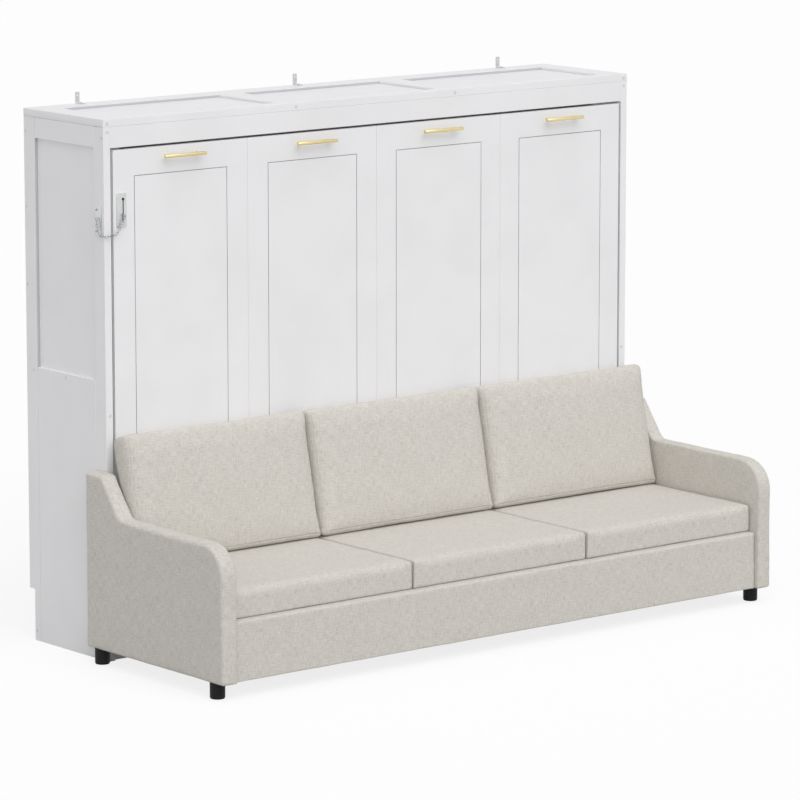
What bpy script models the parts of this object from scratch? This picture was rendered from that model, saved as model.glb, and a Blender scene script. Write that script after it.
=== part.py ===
"""Wall bed with sofa: a cabinet that holds a fold-down bed behind four panelled fronts,
with a three-seat sofa standing against it, its arms on either side of the cabinet.

Metres, +Z up. X runs along the cabinet from its middle, +Y points to the wall, and the
origin is on the floor under the middle of the whole object.
"""

import math

import bmesh
import bpy
from mathutils import Matrix, Vector

# General clearances and facets
GAP = 0.0003
RUNNING_GAP = 0.0005
OVERRUN = 0.004
EASED_EDGE = 0.0010
EASED_FROM = math.radians(50)
TURNED_SIDES = 20
FINE_SIDES = 12
ARC_STEP = math.radians(15)

# Cabinet
CABINET_W = 2.224
CABINET_D = 0.443
CABINET_H = 1.760
SIDE_T = 0.027
FRONT_STILE_D = 0.057
BACK_STILE_D = 0.062
SIDE_RECESS_DEPTH = 0.010
SIDE_RECESS_BOTTOM_Z = 0.916
HEADER_H = 0.068
HEADER_T = 0.025
NOTCH_D = 0.0286
NOTCH_H = 0.172
PLINTH_H = 0.072
PLINTH_T = 0.018
PLINTH_SETBACK = 0.012
BACK_RAIL_T = 0.025
BACK_RAIL_H = 0.100
BACK_RAIL_Z = 0.185

# Top of the cabinet: a frame of rails round a lower panel
TOP_T = 0.025
TOP_FRONT_RAIL_D = 0.046
TOP_BACK_RAIL_D = 0.093
TOP_END_RAIL_W = 0.090
TOP_CROSS_RAIL_W = 0.095
TOP_CROSS_RAIL_X = 0.3405
TOP_PANEL_T = 0.012
TOP_RECESS_DEPTH = 0.008
REBATE = 0.010

# Wall brackets on the back edge of the top
BRACKET_W = 0.016
BRACKET_T = 0.0025
BRACKET_FOOT = 0.034
BRACKET_RISE = 0.037
BRACKET_INSET = 0.213
BRACKET_HOLE_R = 0.0028
BRACKET_BEND_R = 0.0040

# Folding front and bed frame
DOOR_COUNT = 4
DOOR_T = 0.018
SIDE_GAP = 0.009
TOP_GAP = 0.008
DOOR_SEAM = 0.0005
DOOR_EDGE = 0.0006
DOOR_BOTTOM_Z = 0.090
DOOR_STILE_W = 0.083
DOOR_RAIL_W = 0.086
DOOR_GROOVE_W = 0.0024
DOOR_GROOVE_DEPTH = 0.003
DOOR_GROOVE_TAPER = 0.0003
MECHANISM_W = 0.050
BED_RAIL_D = 0.150
END_RAIL_T = 0.020
LONG_RAIL_T = 0.015
RAIL_INSET = 0.005
BEAM_COUNT = 4
BEAM_T = 0.030
BEAM_W = 0.060
SLAT_COUNT = 13
SLAT_T = 0.015
SLAT_W = 0.090
SLAT_SINK = 0.0005
DECK_CLEARANCE = 0.0008

# Handles: a round bar on two posts
HANDLE_L = 0.165
HANDLE_R = 0.0050
HANDLE_STANDOFF = 0.026
HANDLE_DROP = 0.031
HANDLE_POST_R = 0.0036
HANDLE_POST_INSET = 0.022

# Bed pivot
PIVOT_Y = 0.050
PIVOT_PIN_R = 0.010
PIVOT_BOSS_R = 0.019
PIVOT_BOSS_L = 0.010
LOWERED_CLEARANCE = 0.027
HINGE_PLATE_T = 0.005
HINGE_PLATE_MARGIN = 0.028
HINGE_PLATE_CORNER_R = 0.012
BED_PLATE_MARGIN = 0.020

# Gas struts, one at each end of the bed
STRUT_ARM = 0.080
STRUT_ARM_ANGLE = math.radians(-45)
STRUT_ANCHOR_RISE = 0.380
STRUT_ANCHOR_OFFSET = 0.020
STRUT_R = 0.011
STRUT_BORE_R = 0.0056
STRUT_ROD_R = 0.0050
STRUT_CYLINDER_L = 0.200
STRUT_END_WALL = 0.006
STRUT_EYE_R = 0.010
STRUT_EYE_W = 0.012
STRUT_EYE_NECK = 0.014
STRUT_ROD_OVERLAP = 0.030
STUD_R = 0.0040
LUG_R = 0.0060
LUG_CLEARANCE = 0.0007

# Support legs that drop from the bed's free edge
LEG_BAR_T = 0.004
LEG_BAR_W = 0.045
LEG_PIVOT_DROP = 0.299
LEG_PIVOT_DEPTH = 0.022
LEG_PIN_R = 0.006
LEG_PIN_SEAT = 0.012
LEG_FLOOR_CLEARANCE = 0.002

# Safety chain between the side of the cabinet and the front
CHAIN_PLATE_W = 0.038
CHAIN_PLATE_H = 0.110
CHAIN_PLATE_INSET = 0.012
CHAIN_PLATE_DROP = 0.138
CHAIN_PLATE_T = 0.0025
CHAIN_PLATE_CORNER_R = 0.004
SLOT_INSET = 0.025
SLOT_FOOT = 0.017
SLOT_L = 0.073
SLOT_R = 0.0021
KEYHOLE_R = 0.0052
KNOB_RISE = 0.021
KNOB_R = 0.0046
KNOB_T = 0.0040
KNOB_SHANK_R = 0.0016
LINK_WIRE_R = 0.0012
LINK_BEND_R = 0.0030
LINK_STRAIGHT = 0.0060
LINK_FUSE = 0.0004
LINK_POINTS = 12
LINK_SIDES = 6
CHAIN_STANDOFF = 0.0095
CHAIN_SAG = 0.062
CHAIN_START_Y = 0.030
CHAIN_CORNER_R = 0.016
ANCHOR_W = 0.036
ANCHOR_H = 0.090
ANCHOR_Y = 0.012
ANCHOR_TOP_RISE = 0.030
ANCHOR_T = 0.0022
ANCHOR_EAR_T = 0.0018
ANCHOR_EAR_R = 0.0050

# Sofa
SOFA_REACH = 0.690
ARM_WRAP = 0.042
ARM_T = 0.056
ARM_CLEARANCE = 0.0004
ARM_BACK_H = 0.625
ARM_BACK_FLAT = 0.088
ARM_KINK_RUN = 0.100
ARM_TOP_H = 0.494
ARM_FRONT_DROP = 0.004
ARM_FRONT_R = 0.090
ARM_SHOULDER_R = 0.016
ARM_HOLLOW_R = 0.035
ARM_FOOT_R = 0.016
ARM_EDGE_R = 0.011
SOFA_LEG_H = 0.052
SOFA_LEG_R = 0.0250
SOFA_LEG_TAPER = 0.0015
SOFA_LEG_FRONT_INSET = 0.068
SOFA_LEG_BACK_INSET = 0.047
BASE_SETBACK = 0.018
BASE_RAIL_T = 0.026
BASE_RAIL_H = 0.195
BASE_EDGE_R = 0.009
BEARER_T = 0.018
BEARER_H = 0.110
DECK_T = 0.018
SEAT_COUNT = 3
SEAT_SETBACK = 0.038
SEAT_BACK_GAP = 0.012
SEAT_T = 0.088
SEAT_CROWN = 0.008
SEAT_EDGE_R = 0.022
SEAT_SEAM_GAP = 0.0006
SEAT_DRAW_IN = 0.0006

# Back cushions, leaning on the front
BACK_CUSHION_SEAM_GAP = 0.0015
BACK_CUSHION_H = 0.420
BACK_CUSHION_EDGE_T = 0.086
BACK_CUSHION_CROWN = 0.026
BACK_CUSHION_EDGE_R = 0.024
BACK_CUSHION_DRAW_IN = 0.0040
BACK_CUSHION_LEAN = math.radians(12)
CUSHION_FLOOR_CLEARANCE = 0.004
CUSHION_REACH = 0.410
CUSHION_CELLS_ALONG = 12
CUSHION_CELLS_UP = 8
CUSHION_EDGE_SHARE = 0.5

# Places worked out from the sizes
HALF_W = CABINET_W / 2
FRONT_Y = (SOFA_REACH - CABINET_D) / 2
BACK_Y = FRONT_Y + CABINET_D
TOP_UNDER_Z = CABINET_H - TOP_T
HEADER_BOTTOM_Z = TOP_UNDER_Z - HEADER_H
SIDE_INNER_X = HALF_W - SIDE_T
DOOR_TOP_Z = HEADER_BOTTOM_Z - TOP_GAP
FRONT_HALF_W = SIDE_INNER_X - SIDE_GAP
DOOR_BACK_Y = FRONT_Y + DOOR_T
DOOR_W = (2 * FRONT_HALF_W - (DOOR_COUNT - 1) * DOOR_SEAM) / DOOR_COUNT
RAIL_OUTER_X = SIDE_INNER_X - MECHANISM_W
RAIL_INNER_X = RAIL_OUTER_X - END_RAIL_T
RAIL_FRONT_Y = DOOR_BACK_Y + GAP
RAIL_BACK_Y = RAIL_FRONT_Y + BED_RAIL_D
RAIL_BOTTOM_Z = DOOR_BOTTOM_Z + RAIL_INSET
RAIL_TOP_Z = DOOR_TOP_Z - RAIL_INSET
ARM_INNER_X = HALF_W + ARM_CLEARANCE
ARM_OUTER_X = ARM_INNER_X + ARM_T
SOFA_FRONT_Y = FRONT_Y - SOFA_REACH
BASE_FRONT_Y = SOFA_FRONT_Y + BASE_SETBACK
BASE_TOP_Z = SOFA_LEG_H + BASE_RAIL_H
SEAT_TOP_Z = BASE_TOP_Z + GAP + SEAT_T
PIVOT_Z = SEAT_TOP_Z + SEAT_CROWN + LOWERED_CLEARANCE + PIVOT_Y
PIVOT = Vector((0, FRONT_Y + PIVOT_Y, PIVOT_Z))
LUG = PIVOT + STRUT_ARM * Vector((0, math.cos(STRUT_ARM_ANGLE), math.sin(STRUT_ARM_ANGLE)))
ANCHOR = PIVOT + Vector((0, STRUT_ANCHOR_OFFSET, STRUT_ANCHOR_RISE))
STRUT_X = (RAIL_OUTER_X + SIDE_INNER_X) / 2
LEG_PIVOT_Z = DOOR_TOP_Z - LEG_PIVOT_DROP
LEG_PIVOT_Y = DOOR_BACK_Y + LEG_PIVOT_DEPTH
LEG_REACH = PIVOT_Z + (LEG_PIVOT_Y - PIVOT.y) - LEG_FLOOR_CLEARANCE


def clear_scene():
    for item in list(bpy.data.objects):
        bpy.data.objects.remove(item, do_unlink=True)


def finish_of(name, color, roughness, metallic=0.0):
    material = bpy.data.materials.new(name)
    material.use_nodes = True
    shader = material.node_tree.nodes["Principled BSDF"]
    shader.inputs["Base Color"].default_value = (*color, 1)
    shader.inputs["Roughness"].default_value = roughness
    shader.inputs["Metallic"].default_value = metallic
    return material


def object_of(name, mesh_builder, material, origin=None, parent=None, smooth=None):
    """Turns a bmesh in world coordinates into an object whose origin is at the given point."""
    bmesh.ops.recalc_face_normals(mesh_builder, faces=mesh_builder.faces)
    if origin is None:
        corners = [vert.co for vert in mesh_builder.verts]
        low = Vector(min(co[axis] for co in corners) for axis in range(3))
        high = Vector(max(co[axis] for co in corners) for axis in range(3))
        origin = (low + high) / 2
    bmesh.ops.translate(mesh_builder, verts=mesh_builder.verts, vec=-Vector(origin))
    mesh = bpy.data.meshes.new(name)
    mesh_builder.to_mesh(mesh)
    mesh_builder.free()
    if smooth is not None:
        mesh.shade_smooth()
        mesh.set_sharp_from_angle(angle=smooth)
    made = bpy.data.objects.new(name, mesh)
    made.location = origin
    if material is not None:
        made.data.materials.append(material)
    bpy.context.scene.collection.objects.link(made)
    if parent is not None:
        hold(made, parent)
    return made


def hold(piece, parent):
    """Parents a piece without moving it."""
    piece.parent = parent
    piece.matrix_parent_inverse = Matrix.Translation(parent.location).inverted()


def axis_at(name, place, parent=None):
    """An empty that marks a joint and carries what moves with it."""
    marker = bpy.data.objects.new(name, None)
    marker.location = place
    bpy.context.scene.collection.objects.link(marker)
    if parent is not None:
        hold(marker, parent)
    return marker


def ease(piece, width=EASED_EDGE, segments=1):
    """Bevels the outward edges, and leaves the inward ones as they are."""
    build = bmesh.new()
    build.from_mesh(piece.data)
    turns = [edge.is_convex and edge.calc_face_angle() > EASED_FROM for edge in build.edges]
    build.free()
    weights = piece.data.attributes.new("bevel_weight_edge", "FLOAT", "EDGE")
    for index, turned_out in enumerate(turns):
        weights.data[index].value = turned_out
    bevel = piece.modifiers.new("eased_edges", "BEVEL")
    bevel.width = width
    bevel.segments = segments
    bevel.limit_method = "WEIGHT"
    return piece


def combine(piece, other, operation):
    """Joins a hidden helper to a piece, or cuts it out."""
    other.hide_render = True
    other.display_type = "WIRE"
    change = piece.modifiers.new(other.name, "BOOLEAN")
    change.operation = operation
    change.solver = "EXACT"
    change.object = other
    return piece


def block_mesh(x_span, y_span, z_span):
    build = bmesh.new()
    bmesh.ops.create_cube(build, size=1)
    spans = (x_span, y_span, z_span)
    size = Vector(abs(high - low) for low, high in spans)
    centre = Vector((low + high) / 2 for low, high in spans)
    bmesh.ops.scale(build, verts=build.verts, vec=size)
    bmesh.ops.translate(build, verts=build.verts, vec=centre)
    return build


def add_mesh(build, piece):
    """Adds one bmesh to another and frees it."""
    mesh = bpy.data.meshes.new("piece")
    piece.to_mesh(mesh)
    piece.free()
    build.from_mesh(mesh)
    bpy.data.meshes.remove(mesh)


def block(name, material, x_span, y_span, z_span, parent=None, edge=EASED_EDGE, segments=1):
    made = object_of(name, block_mesh(x_span, y_span, z_span), material, parent=parent)
    return ease(made, edge, segments) if edge else made


def rounded_outline(corners, step=ARC_STEP):
    """Points of a closed outline whose corners, each (u, v, radius), are turned as arcs."""
    points = []
    for index, (u, v, radius) in enumerate(corners):
        here = Vector((u, v))
        if not radius:
            points.append(here)
            continue
        before = (Vector(corners[index - 1][:2]) - here).normalized()
        after = (Vector(corners[(index + 1) % len(corners)][:2]) - here).normalized()
        half = before.angle(after) / 2
        centre = here + (before + after).normalized() * radius / math.sin(half)
        start = here + before * radius / math.tan(half) - centre
        end = here + after * radius / math.tan(half) - centre
        first = math.atan2(start.y, start.x)
        sweep = (math.atan2(end.y, end.x) - first + math.pi) % (2 * math.pi) - math.pi
        steps = max(2, math.ceil(abs(sweep) / step))
        for count in range(steps + 1):
            turn = first + sweep * count / steps
            points.append(centre + radius * Vector((math.cos(turn), math.sin(turn))))
    return points


def prism_mesh(plane, outline, start, end):
    """Extrudes an outline drawn in a plane such as "YZ" along the third axis."""
    across, up = ("XYZ".index(letter) for letter in plane)
    along = 3 - across - up
    build = bmesh.new()
    rings = []
    for place in (start, end):
        ring = []
        for u, v in outline:
            spot = [0, 0, 0]
            spot[across], spot[up], spot[along] = u, v, place
            ring.append(build.verts.new(spot))
        rings.append(ring)
    for index in range(len(outline)):
        after = (index + 1) % len(outline)
        build.faces.new((rings[0][index], rings[0][after], rings[1][after], rings[1][index]))
    build.faces.new(rings[0])
    build.faces.new(rings[1])
    return build


def prism(name, material, plane, outline, start, end, parent=None, origin=None, edge=0, segments=1):
    build = prism_mesh(plane, outline, start, end)
    made = object_of(name, build, material, origin=origin, parent=parent)
    return ease(made, edge, segments) if edge else made


def turned_mesh(profile, place, direction, sides=TURNED_SIDES):
    """Turns a profile of (radius, distance) points about a line; ends at radius 0 close it."""
    direction = Vector(direction).normalized()
    rotation = direction.to_track_quat("Z", "Y").to_matrix()
    build = bmesh.new()
    rings = []
    for radius, distance in profile:
        if radius == 0:
            rings.append([build.verts.new(Vector(place) + direction * distance)])
            continue
        ring = []
        for count in range(sides):
            turn = 2 * math.pi * (count + 0.5) / sides
            spot = Vector((radius * math.cos(turn), radius * math.sin(turn), distance))
            ring.append(build.verts.new(Vector(place) + rotation @ spot))
        rings.append(ring)
    for first, second in zip(rings, rings[1:]):
        for count in range(sides):
            after = (count + 1) % sides
            if len(first) == 1:
                build.faces.new((first[0], second[count], second[after]))
            elif len(second) == 1:
                build.faces.new((first[count], first[after], second[0]))
            else:
                build.faces.new((first[count], first[after], second[after], second[count]))
    return build


def turned(name, material, profile, place, direction, sides=TURNED_SIDES, parent=None, origin=None):
    build = turned_mesh(profile, place, direction, sides)
    return object_of(name, build, material, origin, parent, smooth=math.radians(35))


def bar_profile(radius, length, chamfer=0):
    if not chamfer:
        return [(0, 0), (radius, 0), (radius, length), (0, length)]
    return [
        (0, 0),
        (radius - chamfer, 0),
        (radius, chamfer),
        (radius, length - chamfer),
        (radius - chamfer, length),
        (0, length),
    ]


def pin_helper(name, radius, place, direction, length, sides=TURNED_SIDES, parent=None):
    build = turned_mesh(bar_profile(radius, length), place, direction, sides)
    return object_of(name, build, None, parent=parent)


def side_name(side):
    return "left" if side < 0 else "right"


def span(side, near, far):
    """X limits of a piece at one end of the object."""
    return (side * near, side * far)


def make_side(side, board):
    """Front stile, back stile with its baseboard notch, and the routed panel between them."""
    suffix = side_name(side)
    across = span(side, SIDE_INNER_X, HALF_W)
    board_top = TOP_UNDER_Z - GAP
    block(
        f"side_front_stile_{suffix}",
        board,
        across,
        (FRONT_Y, FRONT_Y + FRONT_STILE_D),
        (0, board_top),
    )
    stile_y = BACK_Y - BACK_STILE_D
    notched = [
        (stile_y, 0),
        (BACK_Y - NOTCH_D, 0),
        (BACK_Y - NOTCH_D, NOTCH_H),
        (BACK_Y, NOTCH_H),
        (BACK_Y, board_top),
        (stile_y, board_top),
    ]
    prism(f"side_back_stile_{suffix}", board, "YZ", notched, *across, edge=EASED_EDGE)
    face_x = side * HALF_W
    recess_x = side * (HALF_W - SIDE_RECESS_DEPTH)
    inner_x = side * SIDE_INNER_X
    section = [
        (inner_x, 0),
        (face_x, 0),
        (face_x, SIDE_RECESS_BOTTOM_Z),
        (recess_x, SIDE_RECESS_BOTTOM_Z),
        (recess_x, HEADER_BOTTOM_Z),
        (face_x, HEADER_BOTTOM_Z),
        (face_x, board_top),
        (inner_x, board_top),
    ]
    prism(
        f"side_panel_{suffix}",
        board,
        "XZ",
        section,
        FRONT_Y + FRONT_STILE_D + GAP,
        stile_y - GAP,
        edge=EASED_EDGE,
    )


def make_top(board):
    """Rails round a lower panel, which seats in a rebate under them."""
    top_z = (TOP_UNDER_Z, CABINET_H)
    front_end = FRONT_Y + TOP_FRONT_RAIL_D
    back_start = BACK_Y - TOP_BACK_RAIL_D
    full = (-HALF_W, HALF_W)
    panel_top = CABINET_H - TOP_RECESS_DEPTH
    rebate_z = panel_top + GAP

    def rebated(near, far, inward):
        """A rail's section: full thickness outside, a lip over the panel inside."""
        lip = far + inward * REBATE
        return [
            (near, top_z[0]),
            (far, top_z[0]),
            (far, rebate_z),
            (lip, rebate_z),
            (lip, top_z[1]),
            (near, top_z[1]),
        ]

    front_section = rebated(FRONT_Y, front_end - REBATE, 1)
    back_section = rebated(BACK_Y, back_start + REBATE, -1)
    prism("top_front_rail", board, "YZ", front_section, *full, edge=EASED_EDGE)
    prism("top_back_rail", board, "YZ", back_section, *full, edge=EASED_EDGE)
    cross_y = (front_end + GAP, back_start - GAP)
    for side in (-1, 1):
        suffix = side_name(side)
        inner = HALF_W - TOP_END_RAIL_W
        end_section = rebated(side * HALF_W, side * (inner + REBATE), -side)
        prism(f"top_end_rail_{suffix}", board, "XZ", end_section, *cross_y, edge=EASED_EDGE)
        middle = side * TOP_CROSS_RAIL_X
        half = TOP_CROSS_RAIL_W / 2
        block(
            f"top_cross_rail_{suffix}",
            board,
            (middle - half, middle + half),
            cross_y,
            (rebate_z, top_z[1]),
        )
    panel_x = HALF_W - TOP_END_RAIL_W + REBATE - GAP
    block(
        "top_panel",
        board,
        (-panel_x, panel_x),
        (front_end - REBATE + GAP, back_start + REBATE - GAP),
        (panel_top - TOP_PANEL_T, panel_top),
        edge=0,
    )


def make_cabinet(board):
    for side in (-1, 1):
        make_side(side, board)
    make_top(board)
    between = (-SIDE_INNER_X + GAP, SIDE_INNER_X - GAP)
    header_y = (FRONT_Y, FRONT_Y + HEADER_T)
    block("header_rail", board, between, header_y, (HEADER_BOTTOM_Z, TOP_UNDER_Z - GAP))
    plinth_y = FRONT_Y + PLINTH_SETBACK
    block("plinth_rail", board, between, (plinth_y, plinth_y + PLINTH_T), (0, PLINTH_H))
    block(
        "back_rail",
        board,
        between,
        (BACK_Y - BACK_RAIL_T, BACK_Y),
        (BACK_RAIL_Z, BACK_RAIL_Z + BACK_RAIL_H),
    )


def make_wall_bracket(name, middle_x, steel):
    """A bent steel strip: the foot lies on the top, the leg stands flush with its back."""
    foot_z = CABINET_H + GAP
    outline = rounded_outline(
        [
            (BACK_Y - BRACKET_FOOT, foot_z, 0),
            (BACK_Y, foot_z, BRACKET_BEND_R),
            (BACK_Y, foot_z + BRACKET_RISE, 0),
            (BACK_Y - BRACKET_T, foot_z + BRACKET_RISE, 0),
            (BACK_Y - BRACKET_T, foot_z + BRACKET_T, BRACKET_BEND_R - BRACKET_T),
            (BACK_Y - BRACKET_FOOT, foot_z + BRACKET_T, 0),
        ]
    )
    half = BRACKET_W / 2
    bracket = prism(name, steel, "YZ", outline, middle_x - half, middle_x + half)
    holes = (
        ((middle_x, BACK_Y - BRACKET_T - OVERRUN, foot_z + BRACKET_RISE * 0.7), (0, 1, 0)),
        ((middle_x, BACK_Y - BRACKET_FOOT * 0.65, foot_z - OVERRUN), (0, 0, 1)),
    )
    for index, (place, direction) in enumerate(holes):
        length = BRACKET_T + 2 * OVERRUN
        hole = pin_helper(f"{name}_hole_{index}", BRACKET_HOLE_R, place, direction, length, FINE_SIDES)
        combine(bracket, hole, "DIFFERENCE")


def panelled_mesh(x_span, z_span):
    """A board with a narrow groove in its front, which marks off a panel inside a border."""
    build = bmesh.new()
    left, right = x_span
    bottom, top = z_span

    def loop(x0, x1, z0, z1, y):
        return [build.verts.new((x, y, z)) for x, z in ((x0, z0), (x1, z0), (x1, z1), (x0, z1))]

    def bordered(inward, y):
        """A loop that far inside the border's inner edge."""
        x_edge, z_edge = DOOR_STILE_W + inward, DOOR_RAIL_W + inward
        return loop(left + x_edge, right - x_edge, bottom + z_edge, top - z_edge, y)

    groove_y = FRONT_Y + DOOR_GROOVE_DEPTH
    loops = [
        loop(left, right, bottom, top, DOOR_BACK_Y),
        loop(left, right, bottom, top, FRONT_Y),
        bordered(0, FRONT_Y),
        bordered(DOOR_GROOVE_TAPER, groove_y),
        bordered(DOOR_GROOVE_W - DOOR_GROOVE_TAPER, groove_y),
        bordered(DOOR_GROOVE_W, FRONT_Y),
    ]
    build.faces.new(loops[0])
    build.faces.new(loops[-1])
    for first, second in zip(loops, loops[1:]):
        for index in range(4):
            after = (index + 1) % 4
            build.faces.new((first[index], first[after], second[after], second[index]))
    return build


def make_handle(name, middle_x, gold, parent):
    bar_y = FRONT_Y - HANDLE_STANDOFF
    bar_z = DOOR_TOP_Z - HANDLE_DROP
    start = (middle_x - HANDLE_L / 2, bar_y, bar_z)
    profile = bar_profile(HANDLE_R, HANDLE_L, EASED_EDGE)
    bar = turned(name, gold, profile, start, (1, 0, 0), FINE_SIDES, parent)
    for side in (-1, 1):
        place = (middle_x + side * (HANDLE_L / 2 - HANDLE_POST_INSET), bar_y, bar_z)
        post_name = f"{name}_post_{side_name(side)}"
        length = HANDLE_STANDOFF - GAP
        post = pin_helper(post_name, HANDLE_POST_R, place, (0, 1, 0), length, FINE_SIDES, parent)
        combine(bar, post, "UNION")


def make_slat_deck(wood, parent):
    """Slats across the bed, let into the bearers that run along it behind the fronts."""
    half_x = RAIL_INNER_X - DECK_CLEARANCE
    low_z = RAIL_BOTTOM_Z + LONG_RAIL_T + DECK_CLEARANCE
    high_z = RAIL_TOP_Z - LONG_RAIL_T - DECK_CLEARANCE
    beam_front = RAIL_FRONT_Y
    beam_back = beam_front + BEAM_T
    beams = bmesh.new()
    slats = bmesh.new()
    for index in range(BEAM_COUNT):
        middle = low_z + (high_z - low_z) * (index + 0.5) / BEAM_COUNT
        z_span = (middle - BEAM_W / 2, middle + BEAM_W / 2)
        add_mesh(beams, block_mesh((-half_x, half_x), (beam_front, beam_back), z_span))
    for index in range(SLAT_COUNT):
        middle = -half_x + SLAT_W / 2 + (2 * half_x - SLAT_W) * index / (SLAT_COUNT - 1)
        if index in (0, SLAT_COUNT - 1):
            middle -= math.copysign(OVERRUN, middle)
        x_span = (middle - SLAT_W / 2, middle + SLAT_W / 2)
        y_span = (beam_back - SLAT_SINK, beam_back - SLAT_SINK + SLAT_T)
        add_mesh(slats, block_mesh(x_span, y_span, (low_z, high_z)))
    deck = object_of("slat_deck", beams, wood, parent=parent)
    helper = object_of("slat_deck_slats", slats, None, parent=parent)
    combine(deck, helper, "UNION")


def make_bed(board, gold, wood, parent):
    for index in range(DOOR_COUNT):
        left = -FRONT_HALF_W + index * (DOOR_W + DOOR_SEAM)
        name = f"door_panel_{index + 1}"
        mesh = panelled_mesh((left, left + DOOR_W), (DOOR_BOTTOM_Z, DOOR_TOP_Z))
        ease(object_of(name, mesh, board, parent=parent), DOOR_EDGE)
        make_handle(f"door_handle_{index + 1}", left + DOOR_W / 2, gold, parent)
    rail_y = (RAIL_FRONT_Y, RAIL_BACK_Y)
    for side in (-1, 1):
        name = f"bed_end_rail_{side_name(side)}"
        rail = block(
            name,
            board,
            span(side, RAIL_INNER_X, RAIL_OUTER_X),
            rail_y,
            (RAIL_BOTTOM_Z, RAIL_TOP_Z),
            parent,
            edge=0,
        )
        seat_x = side * (RAIL_OUTER_X - LEG_PIN_SEAT - RUNNING_GAP)
        seat = pin_helper(
            f"{name}_leg_seat",
            LEG_PIN_R + RUNNING_GAP,
            (seat_x, LEG_PIVOT_Y, LEG_PIVOT_Z),
            (side, 0, 0),
            LEG_PIN_SEAT + OVERRUN,
            parent=parent,
        )
        combine(rail, seat, "DIFFERENCE")
    between = (-RAIL_INNER_X + GAP, RAIL_INNER_X - GAP)
    bottom_z = (RAIL_BOTTOM_Z, RAIL_BOTTOM_Z + LONG_RAIL_T)
    top_z = (RAIL_TOP_Z - LONG_RAIL_T, RAIL_TOP_Z)
    block("bed_foot_rail", board, between, rail_y, bottom_z, parent)
    block("bed_head_rail", board, between, rail_y, top_z, parent)
    make_slat_deck(wood, parent)


def make_cabinet_hinge(side, steel):
    """Steel plate on the cabinet's side, with the bed pivot's boss and the strut's stud."""
    name = f"hinge_plate_{side_name(side)}"
    outer_x = SIDE_INNER_X - GAP
    inner_x = outer_x - HINGE_PLATE_T
    margin = HINGE_PLATE_MARGIN
    front = min(PIVOT.y, ANCHOR.y) - margin
    back = max(PIVOT.y, ANCHOR.y) + margin
    low, high = PIVOT.z - margin, ANCHOR.z + margin
    corner = HINGE_PLATE_CORNER_R
    outline = rounded_outline(
        [(front, low, corner), (back, low, corner), (back, high, corner), (front, high, corner)]
    )
    plate = prism(name, steel, "YZ", outline, side * inner_x, side * outer_x)
    pivot = Vector((side * (inner_x + HINGE_PLATE_T / 2), PIVOT.y, PIVOT.z))
    boss_length = PIVOT_BOSS_L + HINGE_PLATE_T / 2
    boss = pin_helper(f"{name}_boss", PIVOT_BOSS_R, pivot, (-side, 0, 0), boss_length)
    combine(plate, boss, "UNION")
    stud_start = Vector((side * (inner_x + HINGE_PLATE_T / 2), ANCHOR.y, ANCHOR.z))
    stud_length = stud_start.x * side - (STRUT_X - STRUT_EYE_W / 2)
    stud = pin_helper(f"{name}_stud", STUD_R, stud_start, (-side, 0, 0), stud_length)
    combine(plate, stud, "UNION")
    bore_start = Vector((side * (outer_x + OVERRUN), PIVOT.y, PIVOT.z))
    bore_length = HINGE_PLATE_T + PIVOT_BOSS_L + 2 * OVERRUN
    bore = pin_helper(
        f"{name}_bore", PIVOT_PIN_R + RUNNING_GAP, bore_start, (-side, 0, 0), bore_length
    )
    combine(plate, bore, "DIFFERENCE")


def make_bed_hinge(side, steel, parent):
    """Steel plate on the bed's end rail, with the pivot pin and the strut's lug."""
    name = f"pivot_plate_{side_name(side)}"
    inner_x = RAIL_OUTER_X + GAP
    outer_x = inner_x + HINGE_PLATE_T
    margin = BED_PLATE_MARGIN
    front = RAIL_FRONT_Y + RAIL_INSET
    back = max(LUG.y, PIVOT.y) + margin
    low, high = LUG.z - margin, PIVOT.z + margin
    corner = HINGE_PLATE_CORNER_R
    outline = rounded_outline(
        [(front, low, corner), (back, low, corner), (back, high, corner), (front, high, corner)]
    )
    plate = prism(
        name, steel, "YZ", outline, side * inner_x, side * outer_x, parent, origin=PIVOT
    )
    start = Vector((side * (inner_x + HINGE_PLATE_T / 2), PIVOT.y, PIVOT.z))
    pin_length = SIDE_INNER_X - RUNNING_GAP - start.x * side
    pin = pin_helper(f"{name}_pin", PIVOT_PIN_R, start, (side, 0, 0), pin_length, parent=parent)
    combine(plate, pin, "UNION")
    lug_start = Vector((side * (inner_x + HINGE_PLATE_T / 2), LUG.y, LUG.z))
    lug_length = STRUT_X - STRUT_EYE_W / 2 - LUG_CLEARANCE - lug_start.x * side
    lug = pin_helper(f"{name}_lug", LUG_R, lug_start, (side, 0, 0), lug_length, parent=parent)
    combine(plate, lug, "UNION")


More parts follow.
